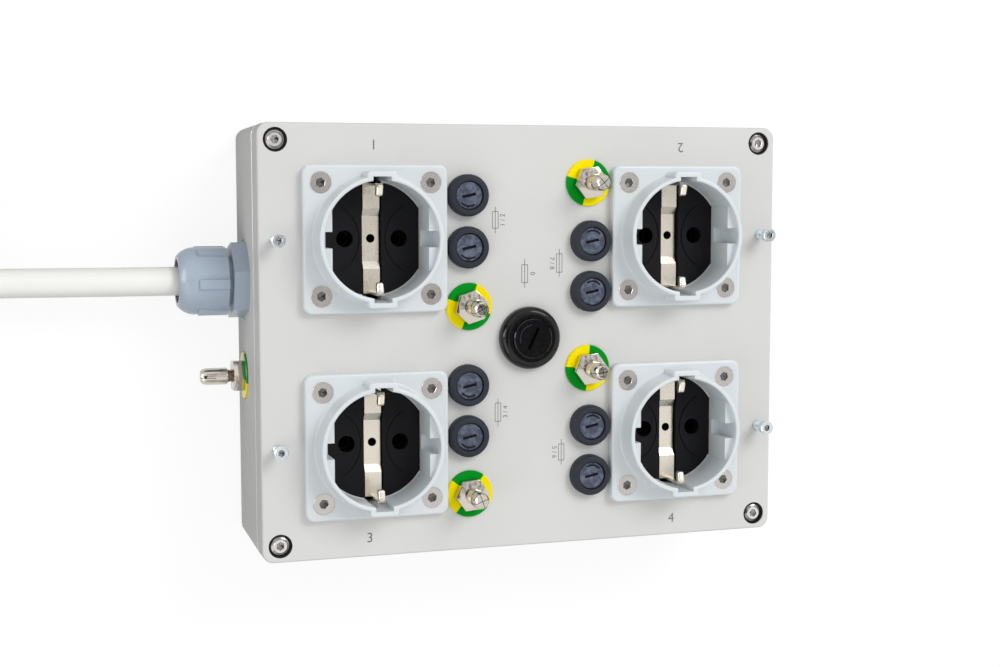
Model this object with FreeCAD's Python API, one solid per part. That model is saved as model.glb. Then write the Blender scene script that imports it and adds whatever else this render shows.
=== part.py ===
"""Medical power distribution box: four earthed sockets, fuses and bonding pins on a metal case.

The case lies on its back. X runs to the right of the panel, Y up the panel, Z out of the panel.
The origin is the middle of the case's back face. All sizes are in millimetres.
"""
import math
import os

import FreeCAD
import Part

# Case: a drafted tray and a lid with a shallow rim
CASE_W = 190.0
CASE_H = 148.4
CASE_D = 50.0
LID_D = 10.0
LID_T = 4.0
WALL = 3.5
FLOOR = 3.0
DRAFT_DEG = 0.75
CORNER_R = 4.0
LID_EDGE_R = 0.8
BASE_EDGE_R = 1.5
RIM_CHAMFER = 0.5
GASKET_W = 1.6
GASKET_T = 1.2
SPOT_MARGIN = 0.05

# Lid screws, with their seal rings
LID_SCREW_INSET_X = 6.2
LID_SCREW_INSET_Y = 5.7
LID_SCREW_R = 2.0
LID_SCREW_HEAD_R = 3.4
LID_SCREW_HEAD_H = 4.0
LID_SCREW_HEX = 3.0
LID_SCREW_L = 18.0
LID_SCREW_SINK = 0.2
LID_BOSS_R = 4.8
SEAL_RING_W = 0.7
SEAL_RING_SINK = 0.3

# Sockets: the places of the four as shares of the lid, then one socket about its own axis
SOCKET_X = 0.2916 * CASE_W
SOCKET_Y = 0.2375 * CASE_H
FLANGE = 50.0
FLANGE_T = 3.5
FLANGE_R = 3.0
FLANGE_EDGE_R = 0.9
SOCKET_PITCH = 38.0
WELL_R = 19.7
RIM_W = 1.5
RIM_H = 12.5
RIM_EDGE_R = 0.6
COLLAR_FOOT_R = 22.7
COLLAR_FILLET = 1.0
SHELL_BACK_R = 21.7
SHELL_BACK = 10.0
CUTOUT_GAP = 0.3
GUIDE_GAP = 33.1
GUIDE_H = 9.8
GUIDE_SLOT_W = 5.5
GUIDE_SLOT_X = 19.7
GUIDE_SILL = 2.2
CLIP_SLOT_W = 6.2
CLIP_SLOT_R = 21.0
CLIP_BOSS_W = 10.0
CLIP_BOSS_R = 22.8
CLIP_BOSS_EDGE_R = 1.2
INSERT_DROP = 3.8
INSERT_BACK = 26.0
INSERT_ARC_R = 13.0
INSERT_ARC_X = 4.3
INSERT_ARC_W = 0.5
INSERT_ARC_DEPTH = 0.4
PIN_SPACING = 19.0
PIN_HOLE_R = 2.9
PIN_LIP = 8.0
CONTACT_R = 3.2
CONTACT_BORE_R = 2.45
CONTACT_TAIL = 2.0

# Earth strip: low in the middle, higher at both ends, with an upright finger at each end
STRIP_W = 5.8
STRIP_T = 0.8
STRIP_MID_DROP = 6.0
STRIP_END_DROP = 4.5
STRIP_BEND_IN = 7.7
STRIP_BEND_OUT = 10.3
STRIP_GROOVE_W = 6.8
STRIP_HOLE_R = 1.5
FINGER_Y = 18.4
FINGER_W = 2.5
FINGER_KNEE_H = 12.2
FINGER_TIP_H = 11.6
FINGER_TIP_Y = 15.5
FINGER_PAD_R = 1.25
FINGER_PAD_EDGE = 0.8
EARTH_BUSH_R = 2.3

# Flange screws
FLANGE_SCREW_R = 2.0
FLANGE_SCREW_HEAD_R = 3.8
FLANGE_SCREW_HEX = 2.8
FLANGE_SCREW_L = 9.0

# Fuse sizes: the small cartridge is 5 by 20, the main one 6.3 by 25.4
SLIDE_GAP = 0.1
TURN_GAP = 0.05
SMALL_FUSE = dict(bezel_r=7.25, bezel_h=4.0, bezel_edge=1.4, body_r=6.2, cap_r=4.95, cap_top=3.3,
                  cap_low=-3.0, sleeve_r=3.9, fuse_r=2.6, fuse_l=20.0, fuse_top=-2.0, end_l=5.0,
                  tail=6.0, closed=4.0, slot_l=5.0, slot_w=1.0, slot_d=1.2, nut=16.0, nut_t=5.0,
                  lug_w=4.8, lug_t=0.8)
MAIN_FUSE = dict(bezel_r=11.0, bezel_h=4.2, bezel_edge=2.6, body_r=8.9, cap_r=7.0, cap_top=5.2,
                 cap_low=-3.0, sleeve_r=5.0, fuse_r=3.15, fuse_l=25.4, fuse_top=-2.0, end_l=6.0,
                 tail=6.0, closed=4.0, slot_l=8.4, slot_w=1.1, slot_d=1.4, nut=23.0, nut_t=5.0,
                 lug_w=6.3, lug_t=0.8)

# Fuse holders: a column beside each pair of sockets, the right one turned half round, the main one between
FUSE_GAP = 0.45
FUSE_X = SOCKET_X - FLANGE / 2 - FUSE_GAP - SMALL_FUSE["bezel_r"]
FUSE_Y = (SOCKET_Y + 14.65, SOCKET_Y - 3.25, 19.35 - SOCKET_Y, 1.5 - SOCKET_Y)
FUSE_SLOT_DEG = 12.0
MAIN_FUSE_SLOT_DEG = 65.0

# Bonding pins: two below each column of fuses on the left, turned half round on the right
BOND_GAP = 0.2
BOND_DISC_R = 8.2
BOND_X = SOCKET_X - FLANGE / 2 - BOND_GAP - BOND_DISC_R
BOND_Y = (SOCKET_Y - 23.75, -SOCKET_Y - 19.0)
BOND_DISC_T = 1.0
BOND_HEX = 10.5
BOND_HEX_H = 4.3
BOND_PIN_R = 3.0
BOND_PIN_TIP = 15.9
BOND_NECK_R = 2.3
BOND_NECK_L = 2.2
BOND_NOSE_R = 1.2
BOND_NUT_T = 5.0
BOND_SIDE_Y = -13.7
BOND_SIDE_Z = 15.5

# Standing screws at the lid's left and right edges, level with the sockets
STAND_INSET = 5.5
STAND_R = 1.5
STAND_L = 16.0
STAND_HEAD_R = 2.4
STAND_HEAD_H = 2.5
STAND_HEX = 2.0
STAND_UP = 8.7
STAND_GAP = 0.05

# Cable gland on the left wall
GLAND_Y = 20.3
GLAND_Z = 18.0
GLAND_HEX = 24.0
GLAND_HEX_L = 5.5
GLAND_HEX_DEG = 14.7
GLAND_CAP_DEG = -3.0
GLAND_THREAD_R = 10.0
GLAND_INSIDE = 12.0
GLAND_STUB_R = 8.7
GLAND_STUB_L = 16.0
GLAND_CAP_START = 7.0
GLAND_CAP_END = 23.7
GLAND_CAP_R = 11.7
GLAND_RIB_R = 12.5
GLAND_RIB_W = 3.2
GLAND_MOUTH_R = 7.6
GLAND_DOME_L = 6.5
LOCKNUT_T = 5.0

# Cable, coil, tie and plug
CABLE_R = 5.0
CABLE_START = 16.0
CABLE_INSIDE = 9.0
COIL_X = -252.0
COIL_Y = 60.5
COIL_INNER_R = 40.0
COIL_OUTER_R = 70.0
COIL_H = 20.0
TIE_W = 12.0
TIE_T = 1.0
TIE_DEG = 60.0
PLUG_R = 18.5
PLUG_BODY_L = 34.0
PLUG_NECK_L = 22.0
PLUG_NECK_R = 7.5
PLUG_PIN_R = 2.4
PLUG_PIN_L = 19.0
PLUG_GRIP_L = 18.0
PLUG_GRIP_DEPTH = 2.2
PLUG_PIN_ROOT = 8.0
PLUG_CORD_IN = 6.0
PLUG_DEG = 180.0
PLUG_OUT = 52.0
END_STRAIGHT = 11.0
END_BEND_R = 54.0
END_STEP_DEG = 23.0
END_HEIGHTS = (16.0, 11.0, 6.5, 1.5)

# Wires inside the case
WIRE_R = 1.3
WIRE_BEND = 3.5
WIRE_GAP = 0.3
LEAD_Z = 9.0
EARTH_Z = 12.4
CORE_Z = 16.6
LINE_FEED_DROP = 14.0
NEUTRAL_FEED_DROP = 20.0

V = FreeCAD.Vector
X_AXIS = V(1, 0, 0)
Y_AXIS = V(0, 1, 0)
Z_AXIS = V(0, 0, 1)
EPS = 0.5

SEAM = CASE_D - LID_D
DRAFT = math.tan(math.radians(DRAFT_DEG))
LEFT_FACE = -CASE_W / 2 + SEAM * DRAFT + SPOT_MARGIN
LID_SCREWS = [(sx * (CASE_W / 2 - LID_SCREW_INSET_X), sy * (CASE_H / 2 - LID_SCREW_INSET_Y))
              for sx in (-1, 1) for sy in (-1, 1)]
SOCKETS = [(-SOCKET_X, SOCKET_Y), (SOCKET_X, SOCKET_Y), (-SOCKET_X, -SOCKET_Y), (SOCKET_X, -SOCKET_Y)]
FUSES = [(-FUSE_X, y, 0) for y in FUSE_Y] + [(FUSE_X, -y, 180) for y in FUSE_Y]
BONDS = [(-BOND_X, y) for y in BOND_Y] + [(BOND_X, -y) for y in BOND_Y]
STANDS = [(sx * (CASE_W / 2 - STAND_INSET), sy * SOCKET_Y) for sx in (-1, 1) for sy in (1, -1)]
CORNERS = [(sx, sy) for sx in (-1, 1) for sy in (-1, 1)]


def cylinder(radius, low, high, x=0.0, y=0.0):
    """An upright cylinder between two heights."""
    return Part.makeCylinder(radius, high - low, V(x, y, low))


def ring(outer, inner, low, high, x=0.0, y=0.0):
    return cylinder(outer, low, high, x, y).cut(cylinder(inner, low - EPS, high + EPS, x, y))


def block(size_x, size_y, low, high, x=0.0, y=0.0):
    """An upright box centred on a point."""
    return Part.makeBox(size_x, size_y, high - low, V(x - size_x / 2, y - size_y / 2, low))


def hexagon(across, low, high, turn_deg=0.0):
    """An upright hexagonal prism, with a corner on +X before it is turned."""
    corner = across / math.sqrt(3)
    points = [V(corner * math.cos(math.radians(60 * i + turn_deg)),
                corner * math.sin(math.radians(60 * i + turn_deg)), low) for i in range(7)]
    return Part.Face(Part.makePolygon(points)).extrude(V(0, 0, high - low))


def rounded_wire(width, height, radius, z):
    """A rectangle with round corners, centred on the Z axis."""
    edges = []
    half_w, half_h = width / 2, height / 2
    ends = []
    for i, (sx, sy) in enumerate(((1, 1), (-1, 1), (-1, -1), (1, -1))):
        centre = V(sx * (half_w - radius), sy * (half_h - radius), z)
        on_arc = [centre + V(radius * math.cos(a), radius * math.sin(a), 0)
                  for a in (math.radians(90 * i + step) for step in (0, 45, 90))]
        ends.append((on_arc[0], on_arc[2]))
        edges.append(Part.Arc(*on_arc).toShape())
    for i in range(4):
        edges.append(Part.LineSegment(ends[i][1], ends[(i + 1) % 4][0]).toShape())
    return Part.Wire(Part.__sortEdges__(edges))


def rounded_prism(width, height, radius, low, high):
    return Part.Face(rounded_wire(width, height, radius, low)).extrude(V(0, 0, high - low))


def revolved(profile):
    """Turn a closed outline about Z. A point is (r, z); a third point between two makes an arc."""
    edges = []
    points = [V(p[0], 0, p[1]) for p in profile]
    arcs = [len(p) == 3 for p in profile]
    i = 0
    while i < len(points):
        after = points[(i + 1) % len(points)]
        if arcs[(i + 1) % len(points)]:
            far = points[(i + 2) % len(points)]
            edges.append(Part.Arc(points[i], after, far).toShape())
            i += 2
        else:
            edges.append(Part.LineSegment(points[i], after).toShape())
            i += 1
    return Part.Face(Part.Wire(edges)).revolve(V(0, 0, 0), Z_AXIS, 360)


def corner_arc(r, z, size, quadrant_r, quadrant_z):
    """The middle point of a round corner whose centre lies quadrant-wise inside (r, z)."""
    half = size * math.sqrt(0.5)
    return (r - quadrant_r * (size - half), z - quadrant_z * (size - half), "arc")


def edges_at(shape, z):
    """The edges that lie wholly at one height."""
    return [e for e in shape.Edges if abs(e.BoundBox.ZMin - z) < 1e-4 and abs(e.BoundBox.ZMax - z) < 1e-4]


def fused(shapes):
    whole = shapes[0].multiFuse(shapes[1:]) if len(shapes) > 1 else shapes[0]
    return whole.removeSplitter()


def placed(shape, x=0.0, y=0.0, z=0.0, turn_deg=0.0):
    copy = shape.copy()
    copy.rotate(V(0, 0, 0), Z_AXIS, turn_deg)
    copy.translate(V(x, y, z))
    return copy


def on_left_wall(shape, y, z):
    """Lay a piece that was built along +Z on the left wall, pointing out of it."""
    copy = shape.copy()
    copy.rotate(V(0, 0, 0), Y_AXIS, -90)
    copy.translate(V(LEFT_FACE, y, z))
    return copy


def tube(points, radius, bends=None):
    """A round rod along straight runs joined by tangent arcs. Bends gives each corner's radius."""
    knots = [V(*p) for p in points]
    edges = []
    radii = []
    start = knots[0]
    for i in range(1, len(knots) - 1):
        back = knots[i - 1] - knots[i]
        on = knots[i + 1] - knots[i]
        turn = math.pi - back.getAngle(on)
        reach = 0.45 * min(back.Length, on.Length)
        bend = reach / math.tan(turn / 2)
        if bends is not None:
            bend = min(bend, bends)
            reach = bend * math.tan(turn / 2)
        back.normalize()
        on.normalize()
        first = knots[i] + back * reach
        last = knots[i] + on * reach
        middle = back + on
        middle.normalize()
        apex = knots[i] + middle * (bend / math.cos(turn / 2) - bend)
        edges.append(Part.LineSegment(start, first).toShape())
        edges.append(Part.Arc(first, apex, last).toShape())
        radii.append(bend)
        start = last
    edges.append(Part.LineSegment(start, knots[-1]).toShape())
    path = Part.Wire(edges)
    heading = knots[1] - knots[0]
    section = Part.Wire(Part.makeCircle(radius, knots[0], heading))
    solid = path.makePipeShell([section], True, False)
    return solid, path.Length, radii


def build_base():
    drop = 2 * SEAM * DRAFT
    rim = 2 * RIM_CHAMFER
    outside = Part.makeLoft([
        rounded_wire(CASE_W - drop, CASE_H - drop, CORNER_R, 0),
        rounded_wire(CASE_W, CASE_H, CORNER_R, SEAM - RIM_CHAMFER),
        rounded_wire(CASE_W - rim, CASE_H - rim, CORNER_R - RIM_CHAMFER, SEAM)], True, True)
    outside = outside.makeFillet(BASE_EDGE_R, edges_at(outside, 0))
    floor_drop = 2 * (SEAM - FLOOR) * DRAFT
    inner_r = max(CORNER_R - WALL, 0.5)
    above = SEAM + EPS
    rise = 2 * EPS * DRAFT
    inside = Part.makeLoft([
        rounded_wire(CASE_W - floor_drop - 2 * WALL, CASE_H - floor_drop - 2 * WALL, inner_r, FLOOR),
        rounded_wire(CASE_W + rise - 2 * WALL, CASE_H + rise - 2 * WALL, inner_r, above)], True, True)
    bosses = [cylinder(LID_BOSS_R, FLOOR - EPS, SEAM, x, y) for x, y in LID_SCREWS]
    solid = fused([outside.cut(inside)] + [boss.common(outside) for boss in bosses])
    depth = LID_SCREW_L - (LID_D - LID_SCREW_HEAD_H - LID_SCREW_SINK)
    cuts = [cylinder(LID_SCREW_R, SEAM - depth, SEAM + EPS, x, y) for x, y in LID_SCREWS]
    hole_l = WALL + 2 * EPS
    cuts.append(on_left_wall(cylinder(GLAND_THREAD_R, -hole_l, EPS), GLAND_Y, GLAND_Z))
    cuts.append(on_left_wall(cylinder(GLAND_HEX / math.sqrt(3) + EPS, 0, WALL), GLAND_Y, GLAND_Z))
    cuts.append(on_left_wall(cylinder(BOND_PIN_R, -hole_l, EPS), BOND_SIDE_Y, BOND_SIDE_Z))
    cuts.append(on_left_wall(cylinder(BOND_DISC_R + EPS, 0, WALL), BOND_SIDE_Y, BOND_SIDE_Z))
    return solid.cut(cuts)


def gasket_ring():
    outer_inset = WALL - GASKET_W
    inner_inset = WALL + GASKET_W
    outer = rounded_prism(CASE_W - outer_inset, CASE_H - outer_inset, CORNER_R - outer_inset / 2,
                          SEAM, SEAM + GASKET_T)
    inner = rounded_prism(CASE_W - inner_inset, CASE_H - inner_inset, CORNER_R - inner_inset / 2,
                          SEAM - EPS, SEAM + GASKET_T + EPS)
    return outer.cut(inner)


def build_lid():
    plate = rounded_prism(CASE_W, CASE_H, CORNER_R, SEAM, CASE_D)
    plate = plate.makeFillet(LID_EDGE_R, edges_at(plate, CASE_D))
    pocket = rounded_prism(CASE_W - 2 * WALL, CASE_H - 2 * WALL, max(CORNER_R - WALL, 0.5),
                           SEAM - EPS, CASE_D - LID_T)
    for x, y in LID_SCREWS:
        pocket = pocket.cut(cylinder(LID_BOSS_R, SEAM - EPS, CASE_D, x, y))
    cuts = [pocket, gasket_ring()]
    sink = CASE_D - LID_SCREW_SINK - LID_SCREW_HEAD_H
    for x, y in LID_SCREWS:
        cuts.append(cylinder(LID_SCREW_HEAD_R + SEAL_RING_W, sink, CASE_D + EPS, x, y))
        cuts.append(cylinder(LID_SCREW_R, SEAM - EPS, CASE_D, x, y))
    low, high = CASE_D - LID_T - EPS, CASE_D + EPS
    for x, y in SOCKETS:
        cuts.append(cylinder(SHELL_BACK_R + CUTOUT_GAP, low, high, x, y))
        for sx, sy in CORNERS:
            screw_x, screw_y = x + sx * SOCKET_PITCH / 2, y + sy * SOCKET_PITCH / 2
            cuts.append(cylinder(FLANGE_SCREW_R, low, high, screw_x, screw_y))
    for x, y, turn in FUSES:
        cuts.append(cylinder(SMALL_FUSE["body_r"], low, high, x, y))
    cuts.append(cylinder(MAIN_FUSE["body_r"], low, high))
    for x, y in BONDS:
        cuts.append(cylinder(BOND_PIN_R, low, high, x, y))
    for x, y in STANDS:
        cuts.append(cylinder(STAND_R + STAND_GAP, low, high, x, y))
    return plate.cut(cuts)


def cap_screw(radius, length, head_r, head_h, hex_across):
    """A socket-head screw with the underside of its head at height zero."""
    bevel = 0.12 * head_h
    head = revolved([(0, 0), (head_r, 0), (head_r, head_h - bevel), (head_r - bevel, head_h), (0, head_h)])
    shank = cylinder(radius, -length, 0)
    return head.fuse(shank).removeSplitter().cut(hexagon(hex_across, 0.45 * head_h, head_h + EPS))


def build_lid_screws():
    screw = cap_screw(LID_SCREW_R, LID_SCREW_L, LID_SCREW_HEAD_R, LID_SCREW_HEAD_H, LID_SCREW_HEX)
    seat = CASE_D - LID_SCREW_SINK - LID_SCREW_HEAD_H
    return [placed(screw, x, y, seat, 17 * i) for i, (x, y) in enumerate(LID_SCREWS)]


def build_lid_seals():
    seat = CASE_D - LID_SCREW_SINK - LID_SCREW_HEAD_H
    top = CASE_D - SEAL_RING_SINK - LID_SCREW_SINK
    return [ring(LID_SCREW_HEAD_R + SEAL_RING_W, LID_SCREW_HEAD_R, seat, top, x, y) for x, y in LID_SCREWS]


def flange_screw_cone():
    """The countersunk head's cone, from the flange face down to the shank."""
    head_h = FLANGE_SCREW_HEAD_R - FLANGE_SCREW_R
    return Part.makeCone(FLANGE_SCREW_R, FLANGE_SCREW_HEAD_R, head_h, V(0, 0, FLANGE_T - head_h))


def build_shell():
    """The moulded socket body, with the panel's face at height zero."""
    flange = rounded_prism(FLANGE, FLANGE, FLANGE_R, 0, FLANGE_T)
    flange = flange.makeFillet(FLANGE_EDGE_R, edges_at(flange, FLANGE_T))
    foot = COLLAR_FOOT_R - COLLAR_FILLET
    fillet_top = FLANGE_T + COLLAR_FILLET
    collar = revolved([
        (0, -SHELL_BACK), (SHELL_BACK_R, -SHELL_BACK), (SHELL_BACK_R, 0), (COLLAR_FOOT_R, 0),
        (COLLAR_FOOT_R, FLANGE_T), corner_arc(foot, FLANGE_T, COLLAR_FILLET, -1, -1), (foot, fillet_top),
        (WELL_R + RIM_W, RIM_H), (0, RIM_H)])
    bosses = []
    for side in (-1, 1):
        depth = CLIP_BOSS_R - WELL_R + EPS
        boss = block(CLIP_BOSS_W, depth, FLANGE_T - EPS, RIM_H, 0, side * (CLIP_BOSS_R - depth / 2))
        outer = [e for e in boss.Edges if abs(e.tangentAt(e.FirstParameter).z) > 0.9
                 and abs(e.CenterOfMass.y) > CLIP_BOSS_R - EPS]
        bosses.append(boss.makeFillet(CLIP_BOSS_EDGE_R, outer))
    well = cylinder(WELL_R, -SHELL_BACK - EPS, RIM_H + EPS)
    body = fused([flange, collar] + bosses).cut(well)
    body = body.makeFillet(RIM_EDGE_R, edges_at(body, RIM_H))
    guides = cylinder(WELL_R + EPS / 2, -INSERT_DROP, GUIDE_H).cut(
        block(GUIDE_GAP, 3 * WELL_R, -INSERT_DROP - EPS, GUIDE_H + EPS))
    body = fused([body, guides])
    cuts = [block(2 * GUIDE_SLOT_X, GUIDE_SLOT_W, GUIDE_SILL - INSERT_DROP, GUIDE_H + EPS),
            block(CLIP_SLOT_W, 2 * CLIP_SLOT_R, -SHELL_BACK - EPS, RIM_H + EPS)]
    for sx, sy in CORNERS:
        x, y = sx * SOCKET_PITCH / 2, sy * SOCKET_PITCH / 2
        cuts.append(placed(flange_screw_cone(), x, y))
        cuts.append(cylinder(FLANGE_SCREW_R, -EPS, FLANGE_T, x, y))
    return body.cut(cuts)


def build_insert():
    """The black block at the bottom of the well, bored for the plug's pins."""
    top = -INSERT_DROP
    solid = cylinder(WELL_R, -INSERT_BACK, top)
    groove_floor = -STRIP_MID_DROP - STRIP_T
    cuts = [block(STRIP_GROOVE_W, 3 * WELL_R, groove_floor, top + EPS),
            cylinder(EARTH_BUSH_R, -INSERT_BACK - EPS, top)]
    for side in (-1, 1):
        x = side * PIN_SPACING / 2
        cuts.append(cylinder(PIN_HOLE_R, -INSERT_BACK, top + EPS, x))
        cuts.append(cylinder(CONTACT_R, -INSERT_BACK - EPS, top - PIN_LIP, x))
        arc_x = side * (INSERT_ARC_X + INSERT_ARC_R)
        arc = ring(INSERT_ARC_R, INSERT_ARC_R - INSERT_ARC_W, top - INSERT_ARC_DEPTH, top + EPS, arc_x)
        cuts.append(arc.common(block(WELL_R, 1.7 * INSERT_ARC_R, top - EPS, top + EPS,
                                     side * WELL_R / 2)))
    return solid.cut(cuts)


def strip_outline(points):
    """Thicken a polyline of (y, z) points downwards into a sheet-metal face."""
    lower = [(y, z - STRIP_T) for y, z in reversed(points)]
    whole = [V(0, y, z) for y, z in points + lower]
    return Part.Face(Part.makePolygon(whole + whole[:1]))


def long_pad(start, end, radius, width):
    """A rounded bar across X whose section runs from one (y, z) point to another."""
    first, last = V(0, *start), V(0, *end)
    along = (last - first).normalize() * radius
    across = X_AXIS.cross(along)
    edges = [Part.LineSegment(first + across, last + across).toShape(),
             Part.Arc(last + across, last + along, last - across).toShape(),
             Part.LineSegment(last - across, first - across).toShape(),
             Part.Arc(first - across, first - along, first + across).toShape()]
    pad = Part.Face(Part.Wire(edges)).extrude(V(width, 0, 0))
    pad.translate(V(-width / 2, 0, 0))
    sides = [e for face in pad.Faces if abs(face.normalAt(0, 0).x) > 0.9 for e in face.Edges]
    return pad.makeFillet(FINGER_PAD_EDGE, sides)


def build_earth_strip():
    high, low = -STRIP_END_DROP, -STRIP_MID_DROP
    end = FINGER_Y + STRIP_T / 2
    bar = strip_outline([(-end, high), (-STRIP_BEND_OUT, high), (-STRIP_BEND_IN, low),
                         (STRIP_BEND_IN, low), (STRIP_BEND_OUT, high), (end, high)])
    bar = bar.extrude(V(STRIP_W, 0, 0))
    bar.translate(V(-STRIP_W / 2, 0, 0))
    pieces = [bar.common(cylinder(WELL_R - SLIDE_GAP, low - 2 * STRIP_T, high + EPS))]
    knee_z = high + FINGER_KNEE_H
    for side in (-1, 1):
        leg = block(FINGER_W, STRIP_T, high - STRIP_T, knee_z, 0, side * FINGER_Y)
        pad = long_pad((FINGER_Y + STRIP_T / 2 - FINGER_PAD_R, knee_z), (FINGER_TIP_Y, high + FINGER_TIP_H),
                       FINGER_PAD_R, FINGER_W)
        if side < 0:
            pad = placed(pad, turn_deg=180)
        pieces += [leg, pad]
    hole = cylinder(STRIP_HOLE_R, low - 2 * STRIP_T, high + EPS)
    return fused(pieces).cut(hole)


def build_contacts():
    """Two pin sleeves and an earth bush for each socket."""
    solids = []
    back = -INSERT_BACK - CONTACT_TAIL
    sleeve = ring(CONTACT_R, CONTACT_BORE_R, -INSERT_BACK, -INSERT_DROP - PIN_LIP).fuse(
        cylinder(CONTACT_R, back, -INSERT_BACK)).removeSplitter()
    bush = ring(EARTH_BUSH_R, STRIP_HOLE_R, back, -STRIP_MID_DROP - STRIP_T)
    for x, y in SOCKETS:
        solids += [placed(sleeve, x + side * PIN_SPACING / 2, y, CASE_D) for side in (-1, 1)]
        solids.append(placed(bush, x, y, CASE_D))
    return solids


def build_flange_screws():
    length = FLANGE_SCREW_L
    screw = fused([flange_screw_cone(), cylinder(FLANGE_SCREW_R, FLANGE_T - length, FLANGE_T - EPS)])
    screw = screw.cut(hexagon(FLANGE_SCREW_HEX, FLANGE_T - 1.4, FLANGE_T + EPS))
    solids = []
    for x, y in SOCKETS:
        for sx, sy in CORNERS:
            turn = 25 * len(solids)
            solids.append(placed(screw, x + sx * SOCKET_PITCH / 2, y + sy * SOCKET_PITCH / 2, CASE_D, turn))
    return solids


def fuse_levels(f):
    """Heights inside a holder: the cap sleeve's end, the fuse's foot and the holder's closed end."""
    foot = f["fuse_top"] - f["fuse_l"]
    return f["fuse_top"] - f["end_l"], foot, foot - f["closed"]


def build_fuse_holder(f):
    sleeve_end, foot, end = fuse_levels(f)
    step = sleeve_end - 1.0
    edge = f["bezel_edge"]
    bore = f["cap_r"] + SLIDE_GAP
    return revolved([
        (0, end), (f["body_r"], end), (f["body_r"], 0), (f["bezel_r"], 0),
        (f["bezel_r"], f["bezel_h"] - edge), corner_arc(f["bezel_r"], f["bezel_h"], edge, 1, 1),
        (f["bezel_r"] - edge, f["bezel_h"]), (bore, f["bezel_h"]), (bore, step),
        (f["fuse_r"] + 3 * SLIDE_GAP, step), (f["fuse_r"] + 3 * SLIDE_GAP, foot), (0, foot)])


def build_fuse_cap(f, slot_deg):
    sleeve_end = fuse_levels(f)[0]
    edge = 0.3
    cap = revolved([
        (0, f["fuse_top"]), (f["fuse_r"] + TURN_GAP, f["fuse_top"]), (f["fuse_r"] + TURN_GAP, sleeve_end),
        (f["sleeve_r"], sleeve_end), (f["sleeve_r"], f["cap_low"]), (f["cap_r"], f["cap_low"]),
        (f["cap_r"], f["cap_top"] - edge), (f["cap_r"] - edge, f["cap_top"]), (0, f["cap_top"])])
    slot = block(f["slot_l"], f["slot_w"], f["cap_top"] - f["slot_d"], f["cap_top"] + EPS)
    return cap.cut(placed(slot, turn_deg=slot_deg))


def build_fuse_link(f):
    foot = fuse_levels(f)[1]
    glass = f["fuse_r"] - 0.15
    top, end_l = f["fuse_top"], f["end_l"]
    return revolved([(0, foot), (f["fuse_r"], foot), (f["fuse_r"], foot + end_l), (glass, foot + end_l),
                     (glass, top - end_l), (f["fuse_r"], top - end_l), (f["fuse_r"], top), (0, top)])


def build_fuse_nut(f):
    low = -LID_T - f["nut_t"]
    return hexagon(f["nut"], low, -LID_T).cut(cylinder(f["body_r"], low - EPS, 0))


def build_fuse_tail(f):
    """The flat solder lug under a holder's closed end."""
    end = fuse_levels(f)[2]
    return block(f["lug_t"], f["lug_w"], end - f["tail"], end)


def bond_pin(under):
    """A bonding pin on a wall of the given thickness, with its thread reaching through the nut."""
    shoulder = BOND_DISC_T + BOND_HEX_H
    neck_top = shoulder + BOND_NECK_L
    nose = BOND_NOSE_R
    pin = revolved([
        (0, -under - BOND_NUT_T - 1.0), (BOND_PIN_R, -under - BOND_NUT_T - 1.0), (BOND_PIN_R, shoulder),
        (BOND_NECK_R, shoulder), (BOND_NECK_R, neck_top), (BOND_PIN_R, neck_top),
        (BOND_PIN_R, BOND_PIN_TIP - nose), corner_arc(BOND_PIN_R, BOND_PIN_TIP, nose, 1, 1),
        (BOND_PIN_R - nose, BOND_PIN_TIP), (0, BOND_PIN_TIP)])
    collar = hexagon(BOND_HEX, BOND_DISC_T, shoulder, 15)
    bevel = Part.makeCone(BOND_HEX / math.sqrt(3) + 0.55 * BOND_HEX_H, BOND_HEX / 2 - 0.1, BOND_HEX_H + 0.4,
                          V(0, 0, BOND_DISC_T))
    return fused([pin, collar.common(bevel)])


def bond_disc(under):
    """The coloured disc under a pin's hexagon. It lies on the wall, however thick that is."""
    return ring(BOND_DISC_R, BOND_PIN_R, 0, BOND_DISC_T)


def bond_nut(under):
    return hexagon(BOND_HEX, -under - BOND_NUT_T, -under).cut(
        cylinder(BOND_PIN_R, -under - BOND_NUT_T - EPS, 0))


def wall_inside():
    """How far the left wall's inner face lies behind the flat that fittings sit on."""
    return WALL - SPOT_MARGIN


def bonded(make):
    """Put a bonding piece on the lid four times and on the left wall once."""
    on_lid, on_wall = make(LID_T), make(wall_inside())
    solids = [placed(on_lid, x, y, CASE_D, 40 * i) for i, (x, y) in enumerate(BONDS)]
    return solids + [on_left_wall(on_wall, BOND_SIDE_Y, BOND_SIDE_Z)]


def build_gland_body():
    hexa = hexagon(GLAND_HEX, 0, GLAND_HEX_L)
    stub = cylinder(GLAND_STUB_R, GLAND_HEX_L - EPS, GLAND_STUB_L)
    thread = cylinder(GLAND_THREAD_R, -GLAND_INSIDE, EPS)
    bore = cylinder(CABLE_R, -GLAND_INSIDE - EPS, GLAND_HEX_L)
    seat = cylinder(GLAND_MOUTH_R, GLAND_HEX_L, GLAND_STUB_L + EPS)
    return fused([hexa, stub, thread]).cut([bore, seat])


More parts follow.
